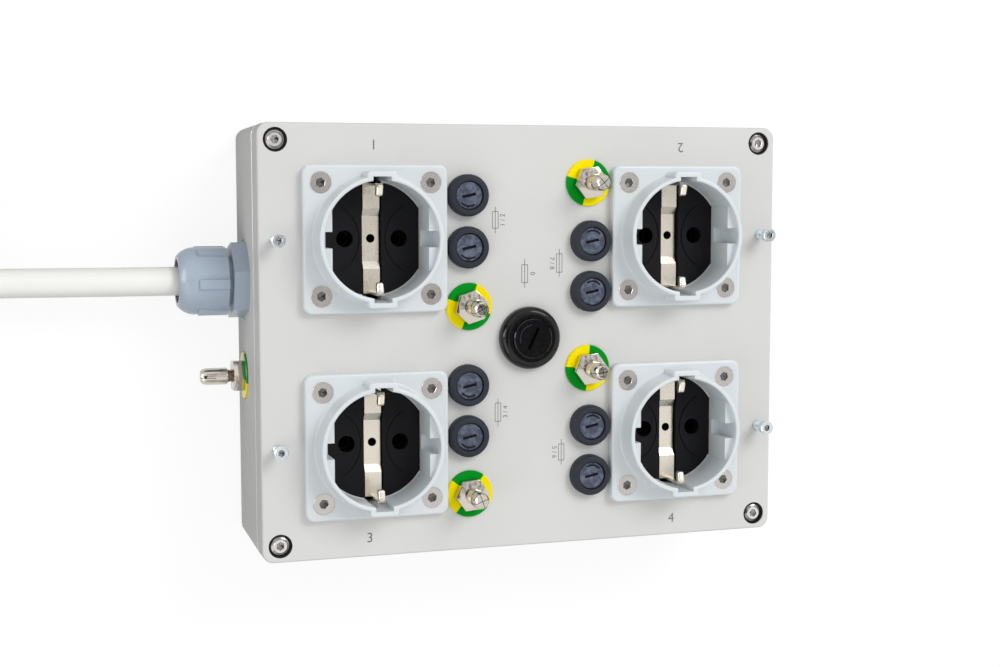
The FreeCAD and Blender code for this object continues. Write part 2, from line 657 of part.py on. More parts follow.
def build_gland_cap():
    start, end, dome = GLAND_CAP_START, GLAND_CAP_END, GLAND_DOME_L
    shoulder = end - dome
    mouth = GLAND_MOUTH_R

    radius = GLAND_CAP_R
    lip = mouth + 1.2
    sag = (radius + 0.55 * (lip - radius) + 0.12 * dome, shoulder + 0.62 * dome, "arc")
    dome_body = revolved([(mouth, start), (radius, start), (radius, shoulder), sag, (lip, end), (mouth, end)])
    rib_root = (GLAND_STUB_R + GLAND_CAP_R) / 2
    ribs = []
    for i in range(6):
        rib = block(GLAND_RIB_R - rib_root, GLAND_RIB_W, start, shoulder, (GLAND_RIB_R + rib_root) / 2)
        ribs.append(placed(rib, turn_deg=60 * i))
    body = fused([dome_body] + ribs)
    return body.cut(cylinder(GLAND_STUB_R, start - EPS, GLAND_STUB_L))


def build_gland_seal():
    return ring(GLAND_MOUTH_R, CABLE_R, GLAND_HEX_L, GLAND_CAP_END - 1.2)


def build_locknut():
    low = -wall_inside() - LOCKNUT_T
    return hexagon(GLAND_HEX, low, -wall_inside()).cut(cylinder(GLAND_THREAD_R, low - EPS, 0))


def gland_piece(shape, turn_deg=GLAND_HEX_DEG):
    return on_left_wall(placed(shape, turn_deg=turn_deg), GLAND_Y, GLAND_Z)


CABLE_ROUTE = [
    (LEFT_FACE - CABLE_START, GLAND_Y, GLAND_Z),
    (LEFT_FACE - CABLE_START - 24, GLAND_Y, GLAND_Z),
    (-160, GLAND_Y + 0.1, 16.6),
    (-186.8, GLAND_Y, 11.5),
    (-203.7, GLAND_Y - 5.3, 8.0),
    (-218.3, GLAND_Y - 15.5, CABLE_R + 0.5),
]


def coil_point(radius, degrees, z):
    angle = math.radians(degrees)
    return V(COIL_X + radius * math.cos(angle), COIL_Y + radius * math.sin(angle), z)


def tie_band():
    """The strap round the coil's section, lying on its own axis: X radial, Y along the cord."""
    mid = (COIL_INNER_R + COIL_OUTER_R) / 2
    width = COIL_OUTER_R - COIL_INNER_R
    outer = block(width + 2 * TIE_T, TIE_W, 0, COIL_H + TIE_T, mid)
    inner = block(width, TIE_W + EPS, TIE_T, COIL_H, mid)
    turned = placed(outer.cut(inner), turn_deg=TIE_DEG)
    turned.translate(V(COIL_X, COIL_Y, 0))
    return turned


def build_coil():
    soft = 0.9 * CABLE_R
    coil = ring(COIL_OUTER_R, COIL_INNER_R, 0, COIL_H)
    coil = coil.makeFillet(soft, edges_at(coil, 0) + edges_at(coil, COIL_H))
    coil.translate(V(COIL_X, COIL_Y, 0))
    loose = [tube(route, CABLE_R)[0] for route in (CABLE_ROUTE, cable_end_route())]
    return coil.cut([tie_band()] + loose)


def plug_ahead():
    """The way the plug points: along the coil's turns at its place."""
    angle = math.radians(PLUG_DEG)
    return V(math.sin(angle), -math.cos(angle), 0)


def plug_frame(shape):
    """Lay the plug, built along +Z from its cord end, on top of the coil."""
    copy = shape.copy()
    copy.rotate(V(0, 0, 0), Y_AXIS, 90)
    copy.rotate(V(0, 0, 0), Z_AXIS, PLUG_DEG - 90)
    copy.translate(coil_point(PLUG_OUT, PLUG_DEG, COIL_H + PLUG_R))
    return copy


def build_plug_body():
    neck, body = PLUG_NECK_L, PLUG_NECK_L + PLUG_BODY_L
    shell = revolved([
        (CABLE_R, 0), (PLUG_NECK_R - 1.5, 0), (PLUG_NECK_R, neck - 4), (PLUG_R - 3.5, neck + 5),
        (PLUG_R, neck + 13), (PLUG_R, body - 1.0), (PLUG_R - 1.0, body), (0, body), (0, PLUG_CORD_IN),
        (CABLE_R, PLUG_CORD_IN)])
    grip_x = PLUG_R - PLUG_GRIP_DEPTH / 2
    cuts = [block(PLUG_GRIP_DEPTH + EPS, 2 * PLUG_R, neck + 2, neck + 2 + PLUG_GRIP_L, side * grip_x)
            for side in (-1, 1)]
    cuts += [cylinder(PLUG_PIN_R, body - PLUG_PIN_ROOT, body + EPS, 0, side * PIN_SPACING / 2)
             for side in (-1, 1)]
    return shell.cut(cuts)


def build_plug_pins():
    start = PLUG_NECK_L + PLUG_BODY_L - PLUG_PIN_ROOT
    end = PLUG_NECK_L + PLUG_BODY_L + PLUG_PIN_L
    nose = 0.8 * PLUG_PIN_R
    pin = revolved([(0, start), (PLUG_PIN_R, start), (PLUG_PIN_R, end - nose),
                    corner_arc(PLUG_PIN_R, end, nose, 1, 1), (PLUG_PIN_R - nose, end), (0, end)])
    return [placed(pin, 0, side * PIN_SPACING / 2) for side in (-1, 1)]


def cable_end_route():
    """From inside the plug's neck back along the top of the coil and down into its upper turn."""
    ahead = plug_ahead()
    inward = ahead.cross(Z_AXIS)
    neck = coil_point(PLUG_OUT, PLUG_DEG, COIL_H + PLUG_R)
    behind = neck - ahead * END_STRAIGHT
    centre = behind + inward * END_BEND_R
    route = [neck + ahead * PLUG_CORD_IN, behind]
    for i, height in enumerate(END_HEIGHTS, 1):
        angle = math.radians(END_STEP_DEG * i)
        point = centre - inward * END_BEND_R * math.cos(angle) - ahead * END_BEND_R * math.sin(angle)
        point.z = COIL_H + height
        route.append(point)
    return route


def wire(points):
    return tube(points, WIRE_R, WIRE_BEND)[0]


def fuse_leads():
    """The wires from each small fuse's tail, along the floor, to one pin sleeve of its socket."""
    tail = CASE_D + fuse_levels(SMALL_FUSE)[2] - SMALL_FUSE["tail"]
    sleeve = CASE_D - INSERT_BACK - CONTACT_TAIL
    leads = []
    for half_turn in (1, -1):
        for y, far, side in zip(FUSE_Y, (-1, 1, -1, 1), (1, 1, -1, -1)):
            x_f, y_f = -half_turn * FUSE_X, half_turn * y
            x_c = half_turn * (-SOCKET_X + far * PIN_SPACING / 2)
            y_c = half_turn * side * SOCKET_Y
            leads.append(wire([(x_f, y_f, tail), (x_f, y_f, LEAD_Z), (x_c, y_c, LEAD_Z), (x_c, y_c, sleeve)]))
    return leads


def fuse_feed(first, second, drop, link_y):
    """One pole's feed: a run beside each column of fuses, and a link between the two runs."""
    x = FUSE_X - SMALL_FUSE["body_r"] - WIRE_R - WIRE_GAP
    z = CASE_D - drop
    over = 3 * WIRE_R
    length = abs(FUSE_Y[first] - FUSE_Y[second]) + 2 * over
    left = Part.makeCylinder(WIRE_R, length, V(-x, FUSE_Y[second] - over, z), Y_AXIS)
    right = Part.makeCylinder(WIRE_R, length, V(x, -FUSE_Y[first] - over, z), Y_AXIS)
    link = Part.makeCylinder(WIRE_R, 2 * x, V(-x, link_y, z), X_AXIS)
    return fused([left, right, link])


def build_supply_wires():
    end_x = LEFT_FACE + GLAND_INSIDE + CABLE_INSIDE + WIRE_GAP
    main_tail = CASE_D + fuse_levels(MAIN_FUSE)[2] - MAIN_FUSE["tail"]
    beside = MAIN_FUSE["body_r"] + WIRE_R + WIRE_GAP
    feed_x = FUSE_X - SMALL_FUSE["body_r"] - 2 * WIRE_R - 2 * WIRE_GAP
    split = 0.4 * CABLE_R
    line_core = wire([(end_x, GLAND_Y + split, GLAND_Z), (end_x + 16, GLAND_Y + split, CORE_Z),
                      (-12, 8, CORE_Z), (0, 0, main_tail - WIRE_R - 2 * WIRE_GAP)])
    neutral_core = wire([(end_x, GLAND_Y - split, GLAND_Z), (end_x + 34, GLAND_Y - 10, CORE_Z + 1.5),
                         (-feed_x - 3 * WIRE_R, 4, CASE_D - NEUTRAL_FEED_DROP)])
    feeds = [fuse_feed(0, 2, LINE_FEED_DROP, beside), fuse_feed(1, 3, NEUTRAL_FEED_DROP, -beside - 2)]
    return fuse_leads() + feeds + [line_core, neutral_core]


def build_earth_wires():
    bush_z = CASE_D - INSERT_BACK - WIRE_GAP
    beside = EARTH_BUSH_R + WIRE_R + WIRE_GAP
    x, y, z = SOCKET_X, SOCKET_Y, EARTH_Z
    bond_end = LEFT_FACE + wall_inside() + BOND_NUT_T + 1.0 + WIRE_R + WIRE_GAP
    end_x = LEFT_FACE + GLAND_INSIDE + CABLE_INSIDE + WIRE_GAP
    low = y + beside
    across = [(-x, -low, bush_z), (-x, -low, z), (-x + 6, -low - 6, z), (x - 6, -low - 6, z), (x, -low, z),
              (x, -low, bush_z)]
    ups = [[(side * (x - beside), -y, bush_z), (side * (x - beside), -y, z), (side * (x - beside), y, z),
            (side * (x - beside), y, bush_z)] for side in (-1, 1)]
    core_z = EARTH_Z + 1
    core = [(end_x, GLAND_Y, GLAND_Z - 0.6 * CABLE_R), (end_x + 9, GLAND_Y, core_z),
            (end_x + 8, GLAND_Y - 14, core_z), (end_x, 0, core_z),
            (bond_end, BOND_SIDE_Y + WIRE_R + WIRE_GAP, BOND_SIDE_Z)]
    bond = [(bond_end, BOND_SIDE_Y - WIRE_R - WIRE_GAP, BOND_SIDE_Z), (-x - 17, -y + 9, z),
            (-x - beside, -y, z), (-x - beside, -y, bush_z)]
    return [wire(points) for points in [across, core, bond] + ups]


def export(name, shape):
    if isinstance(shape, list):
        shape = Part.makeCompound(shape) if len(shape) > 1 else shape[0]
    shape.exportStep("parts/%s.step" % name)
    count, volume = len(shape.Solids), shape.Volume
    print("%-20s solids %2d volume %10.1f valid %s" % (name, count, volume, shape.isValid()))


def export_fuses():
    small = SMALL_FUSE
    main_turn = MAIN_FUSE_SLOT_DEG
    holder, link, nut, tail = (make(small) for make in (build_fuse_holder, build_fuse_link, build_fuse_nut,
                                                        build_fuse_tail))
    cap = build_fuse_cap(small, FUSE_SLOT_DEG)
    export("fuse_holders", [placed(holder, x, y, CASE_D) for x, y, turn in FUSES])
    export("fuse_nuts", [placed(nut, x, y, CASE_D) for x, y, turn in FUSES]
           + [placed(build_fuse_nut(MAIN_FUSE), z=CASE_D)])
    export("fuse_tails", [placed(tail, x, y, CASE_D) for x, y, turn in FUSES]
           + [placed(build_fuse_tail(MAIN_FUSE), z=CASE_D)])
    for i, (x, y, turn) in enumerate(FUSES, 1):
        export("fuse_cap_%d" % i, placed(cap, x, y, CASE_D, turn))
        export("fuse_link_%d" % i, placed(link, x, y, CASE_D))
    export("main_fuse_holder", placed(build_fuse_holder(MAIN_FUSE), z=CASE_D))
    export("main_fuse_cap", placed(build_fuse_cap(MAIN_FUSE, main_turn), z=CASE_D))
    export("main_fuse_link", placed(build_fuse_link(MAIN_FUSE), z=CASE_D))


def export_cable():
    tail_l = CABLE_START + GLAND_INSIDE + CABLE_INSIDE
    tail_end = LEFT_FACE - CABLE_START
    export("cable_tail", Part.makeCylinder(CABLE_R, tail_l, V(tail_end, GLAND_Y, GLAND_Z), X_AXIS))
    for name, route in (("cable_run", CABLE_ROUTE), ("cable_end", cable_end_route())):
        solid, length, radii = tube(route, CABLE_R)
        export(name, solid)
        ratio = solid.Volume / (math.pi * CABLE_R ** 2 * length)
        print(name, "length %.1f, volume ratio %.4f, radii" % (length, ratio), [round(r, 1) for r in radii])
    export("cable_coil", build_coil())
    export("coil_tie", tie_band())
    export("plug_body", plug_frame(build_plug_body()))
    export("plug_pins", [plug_frame(pin) for pin in build_plug_pins()])


def main():
    os.makedirs("parts", exist_ok=True)
    export("base_box", build_base())
    export("lid", build_lid())
    export("lid_gasket", gasket_ring())
    export("lid_screws", build_lid_screws())
    export("lid_screw_seals", build_lid_seals())
    shell, insert, strip = build_shell(), build_insert(), build_earth_strip()
    for i, (x, y) in enumerate(SOCKETS, 1):
        export("socket_%d_shell" % i, placed(shell, x, y, CASE_D))
        export("socket_%d_insert" % i, placed(insert, x, y, CASE_D))
        export("socket_%d_earth_strip" % i, placed(strip, x, y, CASE_D))
    export("socket_contacts", build_contacts())
    export("socket_screws", build_flange_screws())
    export_fuses()
    export("bonding_pins", bonded(bond_pin))
    export("bonding_discs", bonded(bond_disc))
    export("locknuts", bonded(bond_nut) + [gland_piece(build_locknut())])
    stand = cap_screw(STAND_R, STAND_L, STAND_HEAD_R, STAND_HEAD_H, STAND_HEX)
    for i, (x, y) in enumerate(STANDS, 1):
        export("stand_screw_%d" % i, placed(stand, x, y, CASE_D + STAND_UP - STAND_HEAD_H, 20 * i))
    export("gland_body", gland_piece(build_gland_body()))
    export("gland_cap", gland_piece(build_gland_cap(), GLAND_CAP_DEG))
    export("gland_seal", gland_piece(build_gland_seal()))
    export_cable()
    export("supply_wires", build_supply_wires())
    export("earth_wires", build_earth_wires())


main()
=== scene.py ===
# %% [markdown]
# # A medical power distribution box
#
# This lesson dresses a finished CAD model. The solids of the box come in as a fixed frame, and every
# step below adds a finish or a piece that is too soft, too small or too fine for a solid model.
# The scene's unit is the metre, so sizes on the box, which are written in millimetres, are multiplied by
# MM. The box lies on its back: X runs to the right of the panel, Y up the panel and Z out of it.

# %% Load the frame
from math import copysign, cos, pi, radians, sin, sqrt

import bmesh
import bpy
from mathutils import Matrix, Vector


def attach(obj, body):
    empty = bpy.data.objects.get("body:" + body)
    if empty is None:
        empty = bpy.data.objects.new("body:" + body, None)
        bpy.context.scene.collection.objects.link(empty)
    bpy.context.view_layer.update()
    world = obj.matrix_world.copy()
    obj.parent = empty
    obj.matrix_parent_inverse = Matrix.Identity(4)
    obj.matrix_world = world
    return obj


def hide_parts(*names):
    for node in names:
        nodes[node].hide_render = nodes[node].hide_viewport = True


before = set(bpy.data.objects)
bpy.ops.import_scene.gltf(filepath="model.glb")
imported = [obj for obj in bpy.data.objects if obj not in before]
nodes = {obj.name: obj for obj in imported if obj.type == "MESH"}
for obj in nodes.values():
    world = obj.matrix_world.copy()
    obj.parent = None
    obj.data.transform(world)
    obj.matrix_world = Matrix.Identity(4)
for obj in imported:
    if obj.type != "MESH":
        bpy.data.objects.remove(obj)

MM = 0.001
scene = bpy.context.scene
scene.view_settings.view_transform = "Standard"
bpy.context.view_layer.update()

# %% [markdown]
# ## The camera
#
# A photograph taken from close by shows the left wall and the panel at once. The place and the lens of
# the camera were found by matching the corners, screws and sockets of the solid model with the same
# points in the picture, so the camera only has to be put there.

# %% Place the camera
camera = bpy.data.objects.new("photo_camera", bpy.data.cameras.new("photo_camera"))
camera.data.sensor_width = 36
camera.data.lens = 56.67
camera.location = (-0.18030, 0.05193, 0.57157)
camera.rotation_euler = (radians(-5.2147), radians(-18.0267), radians(-0.0552))
scene.collection.objects.link(camera)
scene.camera = camera
print("Camera", round(camera.location.length, 3), "m from the box's back")

# %% [markdown]
# ## The supply cable
#
# A white round cable leaves the gland straight, sinks to the table and is put away in a neat coil of
# two layers, with its plug on top. It could be a tube swept from ring to ring, but one smooth NURBS
# spline keeps its length easy to measure. The curve's own bevel, one metre times each point's radius,
# gives it its thickness. The quadratic spline runs inside its control points, so on the coil they stand
# a little further out than the turns should lie.

# %% Lay the cable's centre line
CABLE_R = 5.0
WALL_X = -94.426
GLAND_MOUTH = (WALL_X - 16, 20.3, 18)
COIL = Vector((-252.0, 60.5))
POINTS_PER_TURN = 16
STEP = 360 / POINTS_PER_TURN
TURNS, TURN_R, TURN_GAP = 5, 65, 2 * CABLE_R
ENTRY_DEG = 293.75
LOW, HIGH = CABLE_R + 0.1, 3 * CABLE_R
outside = 1 / cos(radians(STEP / 2))


def coil_point(turns):
    """The control point that many turns in: two turns inwards, one that climbs, two outwards."""
    radius, height = TURN_R - TURN_GAP * min(turns, 2), LOW
    if turns > 2:
        climb = min(turns - 2, 1)
        radius -= CABLE_R * sin(pi * climb)
        height += (HIGH - LOW) * (1 - cos(pi * climb)) / 2
    if turns > 3:
        radius += TURN_GAP * min(turns - 3, 2)
    angle = radians(ENTRY_DEG - 360 * turns)
    return COIL.x + outside * radius * cos(angle), COIL.y + outside * radius * sin(angle), height


to_the_coil = [GLAND_MOUTH, (-134.4, 20.3, 18), (-160, 20.4, 16.6), (-186.8, 20.3, 11.5), (-203.7, 15.0, 8.0)]
coil = [coil_point(i / POINTS_PER_TURN) for i in range(TURNS * POINTS_PER_TURN + 2)]
coil = coil[:-3] + [(x, y, z + lift) for (x, y, z), lift in zip(coil[-3:], (0.4, 1.8, 4.0))]
BEND_X, BEND_Y, BEND_R = -250, 49.5, 54
PLUG_X, PLUG_Y, PLUG_Z = BEND_X - BEND_R, 66.5, 38.5
up_to_the_plug = [(BEND_X - BEND_R * cos(radians(deg)), BEND_Y - BEND_R * sin(radians(deg)), z)
                  for deg, z in ((69, 25.5), (46, 31), (23, 36))]
into_the_plug = [(PLUG_X, BEND_Y, PLUG_Z), (PLUG_X, PLUG_Y, PLUG_Z)]
route = [Vector(p) * MM for p in to_the_coil + coil + up_to_the_plug + into_the_plug]
print("Cable route of", len(route), "points")

# %% Make the cable a curve
line = bpy.data.curves.new("supply_cable", "CURVE")
line.dimensions = "3D"
line.bevel_depth = 1.0
line.bevel_resolution = 6
line.resolution_u = 6
spline = line.splines.new("NURBS")
spline.points.add(len(route) - 1)
for point, place in zip(spline.points, route):
    point.co = (*place, 1)
    point.radius = CABLE_R * MM
spline.order_u = 3
spline.use_endpoint_u = True
cable = bpy.data.objects.new("supply_cable", line)
scene.collection.objects.link(cable)
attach(cable, "case")
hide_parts("cable_run", "cable_coil", "cable_end")
print("Cable made,", len(spline.points), "control points")

# %% [markdown]
# ## Floor and light
#
# The picture is bright and soft, with a white ground and a light that comes from the top right. The
# floor shows itself white to the camera and to mirror-like metal, but still takes a little of the
# box's shadow. One large lamp gives the soft direction, a weak one lifts the left wall, and a white
# world fills in the rest.

# %% Build the floor
bm = bmesh.new()
bmesh.ops.create_grid(bm, x_segments=1, y_segments=1, size=3)
bmesh.ops.translate(bm, verts=bm.verts, vec=(0, 0, -0.2 * MM))
floor = bpy.data.objects.new("floor", bpy.data.meshes.new("floor"))
bm.to_mesh(floor.data)
bm.free()
scene.collection.objects.link(floor)
print("Floor of", tuple(round(v, 1) for v in floor.dimensions), "m")

# %% [markdown]
# ## Shader maths as Python
#
# A material is a graph of nodes, and wiring it by hand takes many lines. A small class that wraps one
# socket and knows plus, minus and times lets the rest of the lesson write that graph as plain expressions.

# %% Wrap a socket


class Shade:
    """One socket of a material. Arithmetic on it adds Math nodes."""

    def __init__(self, socket):
        self.socket = socket

    def node(self, kind, settings=None, sockets=None, out=0):
        """Add any node: first its settings, then the values or links of its sockets."""
        tree = self.socket.id_data
        made = tree.nodes.new(kind)
        for name, value in (settings or {}).items():
            setattr(made, name, value)
        for key, value in (sockets or {}).items():
            if isinstance(value, Shade):
                tree.links.new(value.socket, made.inputs[key])
            else:
                made.inputs[key].default_value = value
        return Shade(made.outputs[out])

    def maths(self, operation, *values):
        return self.node("ShaderNodeMath", {"operation": operation}, dict(enumerate(values)))

    def __add__(self, other):
        return self.maths("ADD", self, other)

    def __sub__(self, other):
        return self.maths("SUBTRACT", self, other)

    def __rsub__(self, other):
        return self.maths("SUBTRACT", other, self)

    def __mul__(self, other):
        return self.maths("MULTIPLY", self, other)

    __radd__ = __add__
    __rmul__ = __mul__

    def above(self, edge, soft):
        """0 well under an edge, 1 well over it, and smooth between."""
        return self.node("ShaderNodeMapRange", {"interpolation_type": "SMOOTHSTEP"},
                         {"Value": self, "From Min": edge - soft, "From Max": edge + soft})

    def noise(self, scale, detail=2.0, roughness=0.5):
        """Cloudy values about 0.5 at these coordinates."""
        return self.node("ShaderNodeTexNoise", None,
                         {"Vector": self, "Scale": scale, "Detail": detail, "Roughness": roughness})

    def stretched(self, x=1.0, y=1.0, z=1.0):
        return self.node("ShaderNodeMapping", None, {"Vector": self, "Scale": (x, y, z)})

    def between(self, first, second):
        """A colour from the first to the second as this value goes from 0 to 1."""
        return self.node("ShaderNodeMix", {"data_type": "RGBA"},
                         {0: self, 6: (*first, 1), 7: (*second, 1)}, out=2)

    def bump(self, strength, depth):
        return self.node("ShaderNodeBump", None, {"Height": self, "Strength": strength, "Distance": depth})

    def into(self, shader, name):
        self.socket.id_data.links.new(self.socket, shader.inputs[name])


def seen(*channels):
    """A colour as it looks on a screen, red, green and blue from 0 to 255, made linear."""
    return tuple(v / 255 / 12.92 if v < 10 else ((v / 255 + 0.055) / 1.055) ** 2.4 for v in channels)


def finish(name, colour, roughness, metallic=0.0, **constants):
    """A new material: its shader, and the object coordinates that its patterns read."""
    material = bpy.data.materials.new(name)
    material.use_nodes = True
    shader = material.node_tree.nodes["Principled BSDF"]
    values = {"Base Color": (*colour, 1), "Roughness": roughness, "Metallic": metallic, **constants}
    for key, value in values.items():
        shader.inputs[key].default_value = value
    place = Shade(shader.outputs[0]).node("ShaderNodeTexCoord", out="Object")
    return material, shader, place


print("Shader maths ready")

# %% Paint the floor
DIM, PALE = (0.06, 0.06, 0.06), (0.9, 0.9, 0.9)
GLOW, GLOW_SHARE = 1.05, 0.82
white_floor, floor_shader, place = finish("white_floor", DIM, 0.9)


def white_rays(start):
    """1 for camera rays, and 1 for all rays that should see plain white: also mirrored and through glass."""
    straight, mirrored, through = (
        start.node("ShaderNodeLightPath", out=name)
        for name in ("Is Camera Ray", "Is Glossy Ray", "Is Transmission Ray"))
    total = straight + mirrored + through
    return straight, total.maths("MINIMUM", total, 1.0)


glow = place.node("ShaderNodeEmission", None, {"Color": (1, 1, 1, 1), "Strength": GLOW})
straight, white = white_rays(place)
straight.between(DIM, PALE).into(floor_shader, "Base Color")
lit = Shade(floor_shader.outputs[0])
both = place.node("ShaderNodeMixShader", None, {0: white * GLOW_SHARE, 1: lit, 2: glow})
both.into(white_floor.node_tree.nodes["Material Output"], "Surface")
floor.data.materials.append(white_floor)
print("Floor finish:", white_floor.name)

# %% Light the room
SKY = 0.7
world = bpy.data.worlds.new("white_studio")
scene.world = world
world.use_nodes = True
sky = world.node_tree.nodes["Background"]
sky.inputs["Color"].default_value = (1, 1, 1, 1)
_, white = white_rays(Shade(sky.outputs[0]))
(white * (1 - SKY) + SKY).into(sky, "Strength")


def lamp(name, place, power, size=0.9, target=(0, 0, 0.05)):
    """A square lamp that looks at the middle of the panel."""
    made = bpy.data.objects.new(name, bpy.data.lights.new(name, "AREA"))
    made.data.energy = power
    made.data.size = size
    made.location = place
    made.rotation_euler = (Vector(target) - Vector(place)).to_track_quat("-Z", "Y").to_euler()
    scene.collection.objects.link(made)


lamp("key_lamp", (0.85, 1.0, 1.5), power=15)
lamp("left_fill", (-1.2, -0.6, 0.75), power=2.8)

# %% [markdown]
# ## Grey cards for the metal to mirror
#
# In a room that is white all round, polished metal and gloss black have nothing to show, so a
# photographer hangs cards. A cloudy grey one hangs overhead and one stands in front of the box, a white
# one stands at the left, and two black ones hang where the photographer would be and over the middle of
# the panel. Only mirror-like rays see them, so the soft light stays as it is, and the cloudy tone makes
# each screw a little different.

# %% Hang the cards
card_tone, shader, place = finish("card_tone", (0, 0, 0), 1.0)
shader.inputs["Emission Strength"].default_value = 1.0
place.noise(6, 2).above(0.47, 0.1).between((0.10, 0.10, 0.11), PALE).into(shader, "Emission Color")
black_tone, shader, place = finish("black_tone", (0.02, 0.02, 0.02), 1.0)
(0.01 + 0.02 * place.noise(5)).between((0, 0, 0), (1, 1, 1)).into(shader, "Base Color")
white_tone, shader, place = finish("white_tone", (0, 0, 0), 1.0)
shader.inputs["Emission Strength"].default_value = 6.0
place.noise(3).between(PALE, (1, 1, 1)).into(shader, "Emission Color")


def card(name, half, place, tone=card_tone):
    """A square card that only mirror-like rays see."""
    bm = bmesh.new()
    bmesh.ops.create_grid(bm, x_segments=1, y_segments=1, size=half, matrix=place)
    made = bpy.data.objects.new(name, bpy.data.meshes.new(name))
    bm.to_mesh(made.data)
    bm.free()
    made.data.materials.append(tone)
    for ray in ("camera", "diffuse", "transmission", "volume_scatter", "shadow"):
        setattr(made, "visible_" + ray, False)
    scene.collection.objects.link(made)


upright = {axis: Matrix.Rotation(pi / 2, 4, axis) for axis in "XY"}
card("card_overhead", 0.85, Matrix.Translation((0.45, 0.68, 1.5)))
card("card_in_front", 0.8, Matrix.Translation((0.2, -1.7, 1.0)) @ upright["X"])
card("card_at_left", 0.45, Matrix.Translation((-1.5, 0.45, 0.35)) @ upright["Y"], white_tone)
card("card_at_camera", 0.45, Matrix.Translation((-0.75, 0.0, 1.45)), black_tone)
card("card_over_middle", 0.11, Matrix.Translation((0.50, -0.145, 1.45)), black_tone)

# %% [markdown]
# ## Finishes for the case and its fittings
#
# Each material starts from one colour and gets the small unevenness that the real surface has: the
# fine grain of an anodised casting, the faint mould texture of plastic, the drawn lines of sheet metal.
# Patterns read object coordinates in metres, so a scale of 4000 means grains of a quarter millimetre.

# %% Satin aluminium


def shine(level):
    """How much a surface mirrors, as the shader's own constant."""
    return {"Specular IOR Level": level}


DULL = shine(0.15)
case_paint, shader, place = finish("satin_aluminium", seen(218, 218, 216), 0.5, **shine(0.03))
grain = place.noise(3800, 3, 0.6)
cloud = place.noise(28, 3)
(0.5 * grain + 0.5 * cloud).between(seen(209, 209, 207), seen(227, 227, 225)).into(shader, "Base Color")
(0.42 + 0.16 * grain).into(shader, "Roughness")
grain.bump(0.25, 0.00004).into(shader, "Normal")
print("Case finish:", case_paint.name)

# %% Moulded plastics


def moulded(name, colour, roughness, spread=0.06, grain_scale=2600, depth=0.00003, **constants):
    """Plastic from a mould: a faint texture, and a colour that is a little uneven."""
    material, shader, place = finish(name, colour, roughness, **constants)
    skin = place.noise(grain_scale, 3, 0.6)
    cloud = place.noise(70, 3)
    darker = tuple(v * (1 - spread) for v in colour)
    lighter = tuple(min(1.0, v * (1 + spread)) for v in colour)
    (0.6 * cloud + 0.4 * skin).between(darker, lighter).into(shader, "Base Color")
    (roughness - 0.08 + 0.16 * skin).into(shader, "Roughness")
    skin.bump(0.2, depth).into(shader, "Normal")
    return material


MILKY = {"Subsurface Weight": 0.35, "Subsurface Radius": (0.7, 1.0, 1.3), "Subsurface Scale": 0.002}
socket_plastic = moulded("socket_plastic", seen(221, 226, 229), 0.3, 0.02, 3000, 0.00001, **MILKY)
insert_plastic = moulded("insert_plastic", seen(20, 20, 23), 0.5, 0.2, **DULL)
fuse_holder_plastic = moulded("fuse_holder_plastic", seen(50, 53, 62), 0.5, 0.2, 1400, 0.00006, **DULL)
gland_plastic = moulded("gland_plastic", seen(173, 187, 203), 0.26, 0.04)
cable_sheath = moulded("cable_sheath", seen(246, 247, 242), 0.42, 0.02, 1800)
black_rubber = moulded("black_rubber", seen(24, 24, 25), 0.6, 0.2, **DULL)
gloss_black = moulded("gloss_black", seen(14, 14, 16), 0.14, 0.2, 900, 0.00001, **shine(0.35))
brown_insulation = moulded("brown_insulation", seen(110, 70, 45), 0.45)
green_insulation = moulded("green_insulation", seen(120, 160, 40), 0.45)
GREEN, YELLOW = seen(0, 148, 34), seen(255, 232, 0)
disc_green = moulded("disc_green", GREEN, 0.4, 0.08, **shine(0.05))
disc_yellow = moulded("disc_yellow", YELLOW, 0.4, 0.05, **shine(0.05))
wiped_green = moulded("wiped_green", GREEN, 0.2, 0.08)
wiped_yellow = moulded("wiped_yellow", YELLOW, 0.2, 0.05)
panel_ink = moulded("panel_ink", seen(112, 112, 114), 0.6, 0.1, 5000)
# Dark ink for the marks on the fuse caps, also used for painted shade in their slots and round their rims.
mark_and_shade_ink = moulded("dark_mark_and_shade", seen(20, 22, 28), 0.6, 0.1, **DULL)
strap_weave = moulded("strap_weave", seen(30, 30, 32), 0.75, 0.3, 900, 0.0002, **DULL)
print("Materials so far:", len(bpy.data.materials))

# %% Worn fuse caps
fuse_cap_plastic, shader, place = finish("fuse_cap_plastic", seen(84, 91, 108), 0.45, **DULL)
wear = place.noise(520, 4, 0.65).above(0.52, 0.12)
skin = place.noise(2600, 3, 0.6)
(0.75 * wear + 0.25 * skin).between(seen(64, 69, 82), seen(108, 116, 136)).into(shader, "Base Color")
(0.36 + 0.2 * wear).into(shader, "Roughness")
(0.6 * wear + 0.4 * skin).bump(0.3, 0.00004).into(shader, "Normal")
print("Cap finish:", fuse_cap_plastic.name)

# %% Metals


def metal(name, colour, roughness, stretch=(1, 1, 1), scale=1500, spread=0.08, depth=0.00002, wave=0.15):
    """Bare metal: drawn or turned lines, and slightly duller patches where it was handled."""
    material, shader, place = finish(name, colour, roughness, 1.0)
    lines = place.stretched(*stretch).noise(scale, 3, 0.6)
    dull = place.noise(120, 2)
    darker = tuple(v * (1 - spread) for v in colour)
    (0.5 * dull + 0.5 * lines).between(darker, colour).into(shader, "Base Color")
    (roughness - 0.07 + 0.10 * dull + 0.06 * lines).into(shader, "Roughness")
    lines.bump(wave, depth).into(shader, "Normal")
    return material


